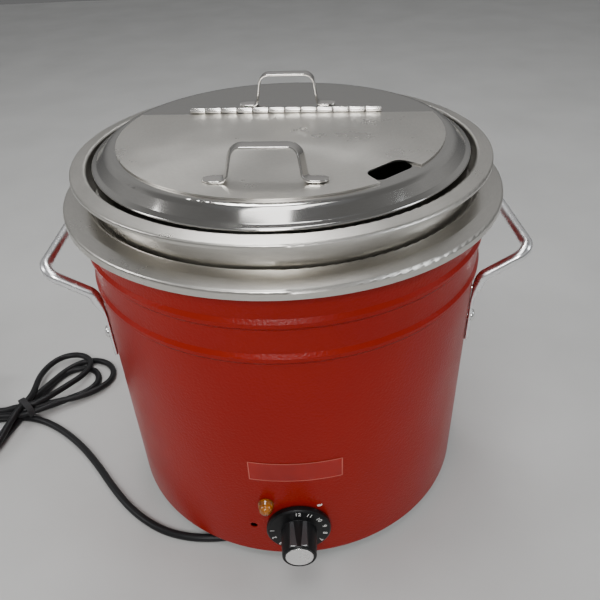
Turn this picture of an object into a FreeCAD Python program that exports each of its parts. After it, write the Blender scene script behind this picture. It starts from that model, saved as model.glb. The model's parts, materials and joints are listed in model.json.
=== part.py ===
import FreeCAD, Part
import math
import os
import re
import Sketcher

# Electric soup kettle: a painted drum with a wet well, a lift-out inset pot and a lid with a hinged flap.
# Frame: +Z up, origin on the drum's axis at the table, the control knob faces -Y. Lengths in millimetres.

V = FreeCAD.Vector
TURN_X = V(1, 0, 0)
TURN_Y = V(0, 1, 0)
TURN_Z = V(0, 0, 1)

doc = FreeCAD.newDocument("SoupKettle")

# ---------------------------------------------------------------- driving sizes
SIZES = [
    ("sheet_gauge", 1.0, "stainless and steel sheet"),
    ("shell_radius", 158, "outside of the painted drum"),
    ("shell_bottom", 11, "lower edge of the drum above the table"),
    ("shell_top", 289, "upper edge of the drum, under the ring"),
    ("bead_down", 34, "upper rolled bead below the drum's upper edge"),
    ("bead_pitch", 28, "lower rolled bead below the upper one"),
    ("bead_upper", "=shell_top - bead_down", "height of the upper rolled bead"),
    ("bead_lower", "=bead_upper - bead_pitch", "height of the lower rolled bead"),
    ("bead_tall", 9, "height of one bead"),
    ("bead_proud", 1.9, "how far a bead stands out"),
    ("well_gap", 2.5, "water gap between the pot and the well"),
    ("well_floor", 76, "inside floor of the well"),
    ("pot_inset", 21, "the pot's side inside the drum's"),
    ("pot_radius", "=shell_radius - pot_inset", "outside of the pot's body"),
    ("pot_above", 39, "the pot's floor above the well's"),
    ("pot_floor", "=well_floor + pot_above", "inside floor of the pot"),
    ("collar_step", 11.3, "the pot's upper collar beyond its body"),
    ("pot_collar", "=pot_radius + collar_step", "outside of the pot's upper collar"),
    ("rim_width", 11.2, "the pot's rim beyond its collar"),
    ("pot_rim_radius", "=pot_collar + rim_width", "outer edge of the pot's rim"),
    ("pot_rim_fall", 1.6, "fall of the rim from inner to outer edge"),
    ("pot_rim_lip", 3, "turned-down edge of the rim"),
    ("ring_overhang", 12, "the well's ring beyond the drum"),
    ("ring_radius", "=shell_radius + ring_overhang", "outer edge of the well's ring"),
    ("mouth_gap", 2.7, "gap round the pot's collar in the ring"),
    ("ring_mouth", "=pot_collar + mouth_gap", "radius where the ring turns down"),
    ("ring_drop", 1, "the ring's outer edge below the drum's upper edge"),
    ("ring_outer_height", "=shell_top - ring_drop", "top of the ring at its outer edge"),
    ("ring_crown", 4.4, "rise of the ring to its inner edge"),
    ("ring_inner_height", "=ring_outer_height + ring_crown", "top of the ring at its inner edge"),
    ("ring_lip", 6, "rolled edge of the ring, downwards"),
    ("ledge_depth", 6, "ring's inner edge down to the pot's ledge"),
    ("rim_rise", 27.8, "the pot's rim above the ledge"),
    ("pot_rim_height", "=ring_inner_height - ledge_depth + rim_rise", "the pot's rim at its inner edge"),
    ("lid_play", 3.8, "gap between the lid's bead and the pot's collar"),
    ("lid_radius", "=pot_collar - sheet_gauge - lid_play", "widest bead of the lid"),
    ("lid_rise", 9.1, "the lid's top above the pot's rim"),
    ("lid_top", "=pot_rim_height + lid_rise", "flat top of the lid"),
    ("lid_edge", 12.5, "the lid's sloping edge"),
    ("lid_flat", "=lid_radius - lid_edge", "radius of the lid's flat top"),
    ("lid_groove", 4.2, "the groove inside the widest bead"),
    ("lid_shoulder", "=lid_radius - lid_groove", "radius of the groove below the lid's shoulder"),
    ("lid_shoulder_drop", 7.7, "groove below the lid's top"),
    ("lid_bead_drop", 9.1, "top of the widest bead below the lid's top"),
    ("lid_bead_tall", 5.2, "height of the widest bead"),
    ("lid_turn", -5.6, "how far the lid lies turned about the drum's axis, degrees"),
    ("flap_inset", 19.5, "the flap's edge inside the lid's"),
    ("flap_radius", "=lid_radius - flap_inset", "edge of the hinged flap"),
    ("flap_gauge", 1.2, "thickness of the flap"),
    ("flap_lap", 10.5, "how far the flap overlaps the lid's opening"),
    ("hinge_back", 38, "hinge axis behind the lid's centre"),
    ("hinge_extra", 33, "the hinge's length beyond the flap's radius"),
    ("hinge_length", "=flap_radius + hinge_extra", "piano hinge, end to end"),
    ("knuckle_radius", 2.4, "hinge barrel"),
    ("hinge_pin_radius", 1.2, "hinge pin"),
    ("leaf_width", 14, "hinge leaf from the axis to its edge"),
    ("leaf_gauge", 0.8, "hinge leaf"),
    ("slot_half_width", 17.5, "ladle slot in the lid, half width"),
    ("slot_end", 4.5, "the ladle slot's outer edge inside the flap's"),
    ("slot_reach", "=flap_radius - slot_end", "ladle slot in the lid, outer edge from the centre"),
    ("notch_half_width", 16, "ladle notch in the flap, half width of its inner edge"),
    ("notch_depth", 19, "ladle notch in the flap"),
    ("notch_depth_radius", "=flap_radius - notch_depth", "ladle notch, inner edge from the centre"),
    ("strap_width", 12, "strap handles"),
    ("strap_gauge", 1.6, "strap handles"),
    ("strap_rise", 26.5, "lid handle, height over the sheet"),
    ("front_strap_rise", 22.5, "flap handle, length of its leaning arch"),
    ("front_strap_lean", 18, "flap handle, lean towards the hinge, degrees"),
    ("strap_span", 53, "strap handles, between the uprights at the base"),
    ("strap_grip", 45, "strap handles, between the uprights at the top"),
    ("strap_foot", 14, "strap handles, length of one foot"),
    ("front_strap_inset", 27, "flap handle inside the flap's edge"),
    ("front_strap", "=flap_radius - front_strap_inset", "flap handle in front of the lid's centre"),
    ("rear_strap_behind", 24.5, "lid handle behind the hinge axis"),
    ("rear_strap", "=hinge_back + rear_strap_behind", "lid handle behind the lid's centre"),
    ("handle_rod", 4.5, "radius of the side handles' rod"),
    ("handle_spread", 54, "half distance between a side handle's legs"),
    ("handle_out", 31.5, "grip of a side handle beyond the drum"),
    ("handle_reach", "=shell_radius + handle_out", "grip of a side handle from the drum's axis"),
    ("tab_down", 75, "upper end of a handle's tab below the drum's upper edge"),
    ("tab_top", "=shell_top - tab_down", "upper end of a handle's flattened tab"),
    ("tab_tall", 59, "length of the flattened tab"),
    ("tab_bottom", "=tab_top - tab_tall", "lower end of a handle's flattened tab"),
    ("tab_width", 13, "flattened tab"),
    ("tab_gauge", 3, "flattened tab"),
    ("handle_rise", 26, "grip of a side handle above its tabs"),
    ("handle_height", "=tab_top + handle_rise", "height of a side handle's grip"),
    ("rivet_radius", 2.5, "shank of the handle rivets"),
    ("rivet_head", 5.2, "head of the handle rivets"),
    ("rivet_down", 8.5, "upper rivets below the tab's upper end"),
    ("rivet_high", "=tab_top - rivet_down", "height of the upper rivets"),
    ("rivet_pitch", 27.5, "lower rivets below the upper ones"),
    ("rivet_low", "=rivet_high - rivet_pitch", "height of the lower rivets"),
    ("knob_height", 50, "height of the control knob's axis"),
    ("dial_radius", 26, "skirt of the control knob"),
    ("dial_depth", 5, "thickness of the skirt"),
    ("grip_radius", 13.5, "grip of the control knob"),
    ("knob_length", 28, "control knob, back to front"),
    ("shaft_radius", 3, "thermostat shaft"),
    ("lamp_side", -25, "pilot lamp, sideways from the knob"),
    ("lamp_height", 77.5, "pilot lamp's height"),
    ("lamp_radius", 6.2, "pilot lamp's dome"),
    ("pilot_hole_side", -37, "small hole, sideways from the knob"),
    ("pilot_hole_height", 45.4, "small hole's height"),
    ("pan_recess", 16, "depth of the recess under the base pan"),
    ("pan_inset", 8, "the recess's wall inside the drum"),
    ("pan_wall", "=shell_radius - pan_inset", "outside of the base pan's recess wall"),
    ("foot_radius", 13, "rubber feet"),
    ("foot_inset", 32, "rubber feet inside the recess's wall"),
    ("foot_circle", "=pan_wall - foot_inset", "rubber feet from the drum's axis"),
    ("stud_radius", 3, "central tie stud"),
    ("blanket_down", 19, "insulation below the drum's upper edge"),
    ("cord_radius", 3.5, "mains lead"),
    ("cord_exit_height", 14, "mains lead where it leaves the strain relief"),
    ("knot_height", 20, "strands of the lead where they are tied"),
    ("knot_width", 23, "strands of the lead where they are tied"),
    ("fan_height", 15, "crossing loops of the tied lead"),
    ("flat_height", 7.6, "loops of the tied lead that lie flat"),
    ("tie_gauge", 1.2, "band round the lead"),
]

sheet = doc.addObject("Spreadsheet::Sheet", "Sizes")
for row, (alias, number, meaning) in enumerate(SIZES, start=1):
    sheet.set(f"A{row}", alias)
    sheet.set(f"B{row}", str(number))
    sheet.set(f"C{row}", meaning)
    sheet.setAlias(f"B{row}", alias)
doc.recompute()

ALIASES = {alias for alias, number, meaning in SIZES}


def linked(rule):
    """A rule written with the sheet's aliases, as an expression that FreeCAD follows."""
    return re.sub(r"[a-z_]+", lambda word: f"Sizes.{word[0]}" if word[0] in ALIASES else word[0], str(rule))


def size(rule):
    """The present value of a rule."""
    return float(sheet.evalExpression(linked(rule)))


def bind(piece, **rules):
    for name, rule in rules.items():
        piece.setExpression(name, linked(rule))


def place(piece, at, turn=None):
    """Put a piece at three rules, turned as asked."""
    piece.Placement = FreeCAD.Placement(V(*[size(rule) for rule in at]), turn or FreeCAD.Rotation())
    for letter, rule in zip("xyz", at):
        piece.setExpression(f"Placement.Base.{letter}", linked(rule))


# Rules that several pieces share.
LEDGE = "(ring_inner_height - ledge_depth)"
WELL_INNER = "(pot_radius + well_gap)"
WELL_OUTER = f"({WELL_INNER} + sheet_gauge)"
WELL_BASE = "(well_floor - sheet_gauge)"
PAN_FLANGE = "(shell_bottom - sheet_gauge)"
PAN_UNDER = f"({PAN_FLANGE} + pan_recess)"
PAN_TOP = f"({PAN_UNDER} + sheet_gauge)"
SHELL_INNER = "(shell_radius - sheet_gauge)"
POT_SEAT = f"({LEDGE} + 0.1)"
POT_STEP = f"({POT_SEAT} + sheet_gauge)"
LID_SKIRT = "(pot_collar - sheet_gauge - 5)"
LID_SEAT = f"({POT_STEP} + 0.1)"
FLAP_UNDER = "(lid_top + 0.1)"
FLAP_TOP = f"({FLAP_UNDER} + flap_gauge)"
HINGE_HEIGHT = "(lid_top + knuckle_radius + 0.5)"
LID_HOLE = "(flap_radius - flap_lap)"

TO_FRONT = FreeCAD.Rotation(TURN_X, 90)
TO_RIGHT = FreeCAD.Rotation(TURN_Y, 90)
LID_POSE = FreeCAD.Placement(V(0, 0, 0), FreeCAD.Rotation(TURN_Z, size("lid_turn")))

nodes = {}


def node(name, piece):
    """Name a finished piece."""
    piece.Label = name
    nodes[name] = piece
    return piece


# ---------------------------------------------------------------- ways of making a piece
def body(name):
    return doc.addObject("PartDesign::Body", name)


def plane_of(owner, role):
    return next(item for item in owner.Origin.OriginFeatures if item.Role == role)


def corner(across, up, radius=None):
    return (across, up, radius)


def outline(owner, role, corners, offset=None):
    """A closed sketch of straight lines and tangent corner arcs, bound to the sheet."""
    sketch = owner.newObject("Sketcher::SketchObject", "Outline")
    sketch.AttachmentSupport = (plane_of(owner, role), "")
    sketch.MapMode = "FlatFace"
    if offset is not None:
        sketch.AttachmentOffset = offset
    spots = [V(size(across), size(up), 0) for across, up, radius in corners]
    count = len(corners)
    before = []
    after = []
    arcs = []
    for index, (across, up, radius) in enumerate(corners):
        spot = spots[index]
        if radius is None:
            before.append(spot)
            after.append(spot)
            arcs.append(None)
            continue
        back = (spots[index - 1] - spot).normalize()
        ahead = (spots[(index + 1) % count] - spot).normalize()
        half = back.getAngle(ahead) / 2
        reach = size(radius) / math.tan(half)
        middle = (back + ahead).normalize()
        centre = spot + middle * (size(radius) / math.sin(half))
        start = spot + back * reach
        finish = spot + ahead * reach
        before.append(start)
        after.append(finish)
        arcs.append(centre)
    lines = []
    for index in range(count):
        line = Part.LineSegment(after[index], before[(index + 1) % count])
        lines.append(sketch.addGeometry(line))
    for index, (across, up, radius) in enumerate(corners):
        coming = lines[index - 1]
        going = lines[index]
        if radius is None:
            sketch.addConstraint(Sketcher.Constraint("Coincident", coming, 2, going, 1))
            fixed = (going, 1)
        else:
            ends = (before[index], after[index])
            fixed = rounded(sketch, coming, going, *ends, arcs[index], spots[index], radius)
        for kind, rule, here in (("DistanceX", across, spots[index].x), ("DistanceY", up, spots[index].y)):
            number = sketch.addConstraint(Sketcher.Constraint(kind, -1, 1, fixed[0], fixed[1], here))
            sketch.setExpression(f"Constraints[{number}]", linked(rule))
    return sketch


def rounded(sketch, coming, going, start, finish, centre, spot, radius):
    """One tangent arc between two lines, and the corner point that places it."""
    circle = Part.Circle(centre, TURN_Z, size(radius))
    first = start - centre
    last = finish - centre
    anticlockwise = first.cross(last).z > 0
    ends = (first, last) if anticlockwise else (last, first)
    angles = [math.atan2(end.y, end.x) for end in ends]
    arc = sketch.addGeometry(Part.ArcOfCircle(circle, angles[0], angles[1]))
    near, far = (1, 2) if anticlockwise else (2, 1)
    sketch.addConstraint(Sketcher.Constraint("Tangent", coming, 2, arc, near))
    sketch.addConstraint(Sketcher.Constraint("Tangent", arc, far, going, 1))
    number = sketch.addConstraint(Sketcher.Constraint("Radius", arc, size(radius)))
    sketch.setExpression(f"Constraints[{number}]", linked(radius))
    point = sketch.addGeometry(Part.Point(spot), True)
    sketch.addConstraint(Sketcher.Constraint("PointOnObject", point, 1, coming))
    sketch.addConstraint(Sketcher.Constraint("PointOnObject", point, 1, going))
    return (point, 1)


def turned(owner, corners):
    """Revolve a profile given as radius and height about the drum's axis."""
    sketch = outline(owner, "XZ_Plane", corners)
    feature = owner.newObject("PartDesign::Revolution", "Turned")
    feature.Profile = sketch
    feature.ReferenceAxis = (sketch, ["V_Axis"])
    feature.Angle = 360
    sketch.Visibility = False
    doc.recompute()
    return feature


def pressed(name, wall, gauge="sheet_gauge"):
    """Turned sheet metal: a step is radius, height, the two ways the sheet's thickness lies, and its bend."""
    front = [corner(radius, height, bend) for radius, height, side, up, bend in wall]
    rear = []
    for radius, height, side, up, bend in reversed(wall):
        other = None
        if bend is not None:
            outward = bend_grows(wall, radius, height)
            other = f"({bend}) + {gauge}" if outward else f"({bend}) - {gauge}"
        rear.append(corner(f"({radius}) + ({side}) * {gauge}", f"({height}) + ({up}) * {gauge}", other))
    owner = body(name)
    turned(owner, front + rear)
    return node(name, owner)


def bend_grows(wall, radius, height):
    """Whether the far side of a bend has the larger radius."""
    index = next(number for number, step in enumerate(wall) if step[0] == radius and step[1] == height)
    here = V(size(wall[index][0]), size(wall[index][1]), 0)
    back = V(size(wall[index - 1][0]), size(wall[index - 1][1]), 0)
    ahead = V(size(wall[index + 1][0]), size(wall[index + 1][1]), 0)
    inward = (back - here).normalize() + (ahead - here).normalize()
    side = V(wall[index][2], wall[index][3], 0)
    return inward.dot(side) < 0


def padded(owner, sketch, depth, midplane=False, backwards=False):
    feature = owner.newObject("PartDesign::Pad", "Pad")
    feature.Profile = sketch
    feature.Midplane = midplane
    feature.Reversed = backwards
    bind(feature, Length=depth)
    sketch.Visibility = False
    doc.recompute()
    return feature


def drilled(owner, radius, depth, at, turn=None):
    """A round hole in a body, from a place along the turned Z."""
    volume = owner.Shape.Volume
    feature = owner.newObject("PartDesign::SubtractiveCylinder", "Hole")
    bind(feature, Radius=radius, Height=depth)
    place(feature, at, turn)
    doc.recompute()
    if owner.Shape.Volume >= volume:
        raise RuntimeError(f"a hole of {owner.Name} cuts nothing")
    return feature


def cylinder(name, radius, depth, at, turn=None):
    piece = doc.addObject("Part::Cylinder", name)
    bind(piece, Radius=radius, Height=depth)
    place(piece, at, turn)
    return piece


def block(name, length, width, height, at, turn=None):
    piece = doc.addObject("Part::Box", name)
    bind(piece, Length=length, Width=width, Height=height)
    if isinstance(at, FreeCAD.Placement):
        piece.Placement = at
    else:
        place(piece, at, turn)
    return piece


def cone(name, low, high, depth, at, turn=None):
    piece = doc.addObject("Part::Cone", name)
    bind(piece, Radius1=low, Radius2=high, Height=depth)
    place(piece, at, turn)
    return piece


def hexagon(name, across, depth, at, turn=None):
    piece = doc.addObject("Part::Prism", name)
    piece.Polygon = 6
    bind(piece, Circumradius=f"({across}) / sqrt(3)", Height=depth)
    place(piece, at, turn)
    return piece


def joined(name, pieces):
    piece = doc.addObject("Part::MultiFuse", name)
    piece.Shapes = pieces
    piece.Refine = True
    return piece


def less(name, base, tool):
    piece = doc.addObject("Part::Cut", name)
    piece.Base = base
    piece.Tool = tool
    return piece


def group(name, pieces):
    piece = doc.addObject("Part::Compound", name)
    piece.Links = pieces
    return piece


def shaped(name, shape, placement=None):
    """A piece whose shape comes from Part's own functions."""
    piece = doc.addObject("Part::Feature", name)
    piece.Shape = shape
    if placement is not None:
        piece.Placement = placement
    return piece


def path_of(spots):
    """Straight runs joined by tangent arcs, each as large as its two runs allow, and the arcs' radii."""
    edges = []
    radii = []
    here = spots[0]
    for index in range(1, len(spots) - 1):
        spot = spots[index]
        back = spots[index - 1] - spot
        ahead = spots[index + 1] - spot
        reach = 0.45 * min(back.Length, ahead.Length)
        turn = math.pi - back.getAngle(ahead)
        radii.append(reach / math.tan(turn / 2))
        back.normalize()
        ahead.normalize()
        start = spot + back * reach
        finish = spot + ahead * reach
        inward = (back + ahead).normalize()
        middle = spot + inward * (radii[-1] / math.cos(turn / 2) - radii[-1])
        edges.append(Part.LineSegment(here, start).toShape())
        edges.append(Part.Arc(start, middle, finish).toShape())
        here = finish
    edges.append(Part.LineSegment(here, spots[-1]).toShape())
    return Part.Wire(edges), radii


def rod_along(spots, radius):
    """A round rod or tube along a path."""
    wire, radii = path_of(spots)
    ring = Part.Wire([Part.Circle(spots[0], spots[1] - spots[0], radius).toShape()])
    solid = wire.makePipeShell([ring], True, True)
    expected = math.pi * radius ** 2 * wire.Length
    if abs(solid.Volume - expected) > 0.02 * expected:
        raise RuntimeError("a rod's volume doesn't match its path")
    return solid, radii, wire.Length


def round_about(angle, radius, height):
    """A place on the drum, at degrees from the front, seen from above anticlockwise."""
    turn = math.radians(angle)
    return V(radius * math.sin(turn), -radius * math.cos(turn), height)


def facing(angle):
    """The turn that carries Z to the outward direction at degrees from the front."""
    return FreeCAD.Rotation(TURN_Z, angle) * TO_FRONT


# ---------------------------------------------------------------- drum
def bead(height):
    """The four corners of a rolled bead that stands out of the drum."""
    return [
        ("shell_radius", f"{height} - bead_tall / 2", -1, 0, None),
        ("shell_radius + bead_proud", f"{height} - bead_tall / 6", -1, 0, None),
        ("shell_radius + bead_proud", f"{height} + bead_tall / 6", -1, 0, None),
        ("shell_radius", f"{height} + bead_tall / 2", -1, 0, None),
    ]


shell = pressed("outer_shell", [
    ("shell_radius", "shell_bottom", -1, 0, None),
    *bead("bead_lower"),
    *bead("bead_upper"),
    ("shell_radius", "shell_top", -1, 0, None),
])
SHELL_FRONT = f"-({SHELL_INNER} - 6)"
drilled(shell, "shaft_radius + 3", "12", ("0", SHELL_FRONT, "knob_height"), TO_FRONT)
drilled(shell, "lamp_radius - 2", "16", ("lamp_side", SHELL_FRONT, "lamp_height"), TO_FRONT)
drilled(shell, "3", "16", ("pilot_hole_side", SHELL_FRONT, "pilot_hole_height"), TO_FRONT)
for side in (-1, 1):
    drilled(shell, "2.1", "12", (f"{side} * 17", SHELL_FRONT, "knob_height"), TO_FRONT)

TAB_ANGLE = math.degrees(math.acos(size("handle_spread") / size("shell_radius")))
tab_angles = {
    "right": (TAB_ANGLE, 180 - TAB_ANGLE),
    "left": (-TAB_ANGLE, TAB_ANGLE - 180),
}
for angles in tab_angles.values():
    for angle in angles:
        for height in ("rivet_low", "rivet_high"):
            spot = round_about(angle, size(SHELL_INNER) - 4, size(height))
            drilled(shell, "rivet_radius + 0.05", "12", (spot.x, spot.y, height), facing(angle))

# Base pan: a pressed cover whose flange carries the drum's lower edge.
# Its floor is raised for the feet and the lead.
pan = pressed("base_pan", [
    ("shell_radius - 0.5", PAN_FLANGE, 0, 1, None),
    ("pan_wall - sheet_gauge", PAN_FLANGE, 1, 1, "2"),
    ("pan_wall - sheet_gauge", PAN_UNDER, 1, 1, "3"),
    ("0", PAN_UNDER, 0, 1, None),
])
FOOT_ANGLES = (45, 135, 225, 315)
drilled(pan, "stud_radius + 0.2", "5", ("0", "0", f"{PAN_UNDER} - 2"))
for angle in FOOT_ANGLES:
    spot = round_about(angle, size("foot_circle"), 0)
    drilled(pan, "2.1", "5", (spot.x, spot.y, f"{PAN_UNDER} - 2"))
VENT_RING = 70
for step in range(8):
    spot = round_about(22.5 + 45 * step, VENT_RING, 0)
    drilled(pan, "4", "5", (spot.x, spot.y, f"{PAN_UNDER} - 2"))

# ---------------------------------------------------------------- wet well
pressed("water_well", [
    ("ring_radius", "ring_outer_height - ring_lip", -1, 0, None),
    ("ring_radius", "ring_outer_height", -1, -1, "2.5"),
    ("(ring_radius + ring_mouth) / 2", "(ring_outer_height + ring_inner_height) / 2 + 0.6", 0, -1, None),
    ("ring_mouth", "ring_inner_height", 1, -1, "1.8"),
    ("ring_mouth - 0.8", LEDGE, 1, -1, "1.2"),
    (WELL_INNER, LEDGE, 1, -1, "2"),
    (WELL_INNER, "well_floor", 1, -1, "14"),
    ("0", "well_floor", 0, -1, None),
])

# ---------------------------------------------------------------- inset pot
pressed("inset_pot", [
    ("pot_rim_radius", "pot_rim_height - pot_rim_fall - pot_rim_lip", -1, 0, None),
    ("pot_rim_radius", "pot_rim_height - pot_rim_fall", -1, -1, "1.6"),
    ("pot_collar - sheet_gauge", "pot_rim_height", 1, -1, "1.8"),
    ("pot_collar - sheet_gauge", POT_STEP, 1, -1, "1.5"),
    ("pot_radius - sheet_gauge", POT_STEP, 1, -1, "2"),
    ("pot_radius - sheet_gauge", "pot_floor", 1, -1, "12"),
    ("0", "pot_floor", 0, -1, None),
])

# ---------------------------------------------------------------- lid and flap
lid_pressing = body("lid_pressing")
turned(lid_pressing, [
    corner("0", "lid_top"),
    corner("lid_flat", "lid_top", "8"),
    corner("lid_shoulder", "lid_top - lid_shoulder_drop", "1.5"),
    corner("lid_radius", "lid_top - lid_bead_drop", "1.8"),
    corner("lid_radius", "lid_top - lid_bead_drop - lid_bead_tall", "1.5"),
    corner(LID_SKIRT, "lid_top - lid_bead_drop - lid_bead_tall - 1"),
    corner(LID_SKIRT, LID_SEAT),
    corner(f"{LID_SKIRT} - sheet_gauge", LID_SEAT),
    corner(f"{LID_SKIRT} - sheet_gauge", "lid_top - lid_bead_drop - 1.5", "1"),
    corner("lid_shoulder - 1.2", "lid_top - lid_shoulder_drop - 1.2", "2"),
    corner("lid_flat - 0.5", "lid_top - sheet_gauge", "7"),
    corner("0", "lid_top - sheet_gauge"),
])


def notch(name, inner, outer, inner_half, outer_half, bend, tall):
    """A prism for a slot that points out from the centre, with two rounded corners at its given end."""
    owner = body(name)
    sketch = outline(owner, "XY_Plane", [
        corner(outer, f"-({outer_half})", bend if outer == "slot_reach" else None),
        corner(outer, outer_half, bend if outer == "slot_reach" else None),
        corner(inner, inner_half, None if outer == "slot_reach" else bend),
        corner(inner, f"-({inner_half})", None if outer == "slot_reach" else bend),
    ])
    padded(owner, sketch, tall)
    owner.Placement = FreeCAD.Placement(V(0, 0, size(DEEP)), FreeCAD.Rotation(TURN_Z, -45))
    return owner


DEEP = "(lid_top - 6)"
lid_disc = cylinder("lid_disc", LID_HOLE, "12", ("0", "0", DEEP))
lid_half = block("lid_half", "400", "hinge_back - flap_lap + 200", "12", ("-200", "-200", DEEP))
lid_slot = notch("lid_slot", "60", "slot_reach", "slot_half_width", "slot_half_width", "6", "12")
lid_mouth = doc.addObject("Part::Common", "lid_mouth")
lid_mouth.Base = lid_disc
lid_mouth.Tool = lid_half
lid_cover = less("lid_cover", lid_pressing, joined("lid_opening", [lid_mouth, lid_slot]))
lid_cover.Placement = LID_POSE
node("lid_cover", lid_cover)

flap_disc = cylinder("flap_disc", "flap_radius", "flap_gauge", ("0", "0", FLAP_UNDER))
flap_half = block("flap_half", "400", "hinge_back - 3 + 200", "12", ("-200", "-200", DEEP))
flap_blank = doc.addObject("Part::Common", "flap_blank")
flap_blank.Base = flap_disc
flap_blank.Tool = flap_half
NOTCH_WIDE = "notch_half_width + 7"
flap_slot = notch("flap_slot", "notch_depth_radius", "flap_radius + 12", "notch_half_width", NOTCH_WIDE, "7", "14")
lid_flap = less("lid_flap", flap_blank, flap_slot)
lid_flap.Placement = LID_POSE
node("lid_flap", lid_flap)

# Piano hinge: six knuckles on each leaf, taken in turn.
KNUCKLES = 12
PITCH = f"hinge_length / {KNUCKLES}"
CLEAR = "(knuckle_radius + 0.4)"


def hinge_leaf(name, first, level, behind):
    """One leaf with every second knuckle. The fixed leaf lies behind the axis, the moving one in front."""
    start = f"hinge_back + {CLEAR}" if behind else "hinge_back - leaf_width"
    parts = [block(f"{name}_plate", "hinge_length", f"leaf_width - {CLEAR}", "leaf_gauge",
                   ("-hinge_length / 2", start, level))]
    for index in range(first, KNUCKLES, 2):
        left = f"-hinge_length / 2 + {index} * {PITCH} + 0.15"
        wide = f"{PITCH} - 0.3"
        tab = "hinge_back" if behind else f"hinge_back - {CLEAR} - 0.1"
        parts.append(block(f"{name}_tab", wide, f"{CLEAR} + 0.1", "leaf_gauge", (left, tab, level)))
        end = (left, "hinge_back", HINGE_HEIGHT)
        parts.append(cylinder(f"{name}_knuckle", "knuckle_radius", wide, end, TO_RIGHT))
    bore = cylinder(f"{name}_bore", "hinge_pin_radius + 0.05", "hinge_length + 2",
                    ("-hinge_length / 2 - 1", "hinge_back", HINGE_HEIGHT), TO_RIGHT)
    leaf = less(name, joined(f"{name}_blank", parts), bore)
    leaf.Placement = LID_POSE
    return node(name, leaf)


hinge_leaf("hinge_leaf_fixed", 0, "lid_top", True)
hinge_leaf("hinge_leaf_moving", 1, FLAP_TOP, False)
pin_end = ("-hinge_length / 2", "hinge_back", HINGE_HEIGHT)
hinge_wire = cylinder("hinge_wire", "hinge_pin_radius", "hinge_length", pin_end, TO_RIGHT)
hinge_pin = group("hinge_pin", [hinge_wire])
hinge_pin.Placement = LID_POSE
node("hinge_pin", hinge_pin)


def strap_handle(name, forward, level, rise, lean):
    """A bent strap on two flat feet. The arch leans back by the given degrees."""
    arch = body(f"{name}_arch")
    sketch = outline(arch, "XZ_Plane", [
        corner("-strap_span / 2", "-2"),
        corner("-strap_grip / 2", rise, "9"),
        corner("strap_grip / 2", rise, "9"),
        corner("strap_span / 2", "-2"),
        corner("strap_span / 2 - strap_gauge", "-2"),
        corner("strap_grip / 2 - strap_gauge", f"{rise} - strap_gauge", "9 - strap_gauge"),
        corner("-strap_grip / 2 + strap_gauge", f"{rise} - strap_gauge", "9 - strap_gauge"),
        corner("-strap_span / 2 + strap_gauge", "-2"),
    ])
    padded(arch, sketch, "strap_width", midplane=True)
    arch.Placement = FreeCAD.Placement(V(0, 0, 0), FreeCAD.Rotation(TURN_X, -size(lean)))
    above = block(f"{name}_above", "200", "100", "60", ("-100", "-50", "0"))
    standing = doc.addObject("Part::Common", f"{name}_standing")
    standing.Base = arch
    standing.Tool = above
    feet = []
    for side in (-1, 1):
        foot = body(f"{name}_foot")
        ends = [
            corner("strap_span / 2 + strap_foot", "-strap_width / 2", "strap_width / 2 - 0.1"),
            corner("strap_span / 2 + strap_foot", "strap_width / 2", "strap_width / 2 - 0.1"),
            corner("strap_span / 2 - strap_gauge", "strap_width / 2"),
            corner("strap_span / 2 - strap_gauge", "-strap_width / 2"),
        ]
        padded(foot, outline(foot, "XY_Plane", ends), "strap_gauge")
        if side < 0:
            foot.Placement = FreeCAD.Placement(V(0, 0, 0), FreeCAD.Rotation(TURN_Z, 180))
        feet.append(foot)
    strap = joined(name, [standing, *feet])
    strap.Placement = LID_POSE * FreeCAD.Placement(V(0, size(forward), size(level)), FreeCAD.Rotation())
    return node(name, strap)


strap_handle("flap_handle", "-front_strap", FLAP_TOP, "front_strap_rise", "front_strap_lean")
strap_handle("lid_handle", "rear_strap", "lid_top", "strap_rise", "0")

# ---------------------------------------------------------------- side handles
SIDES = {"left": -1, "right": 1}


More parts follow.
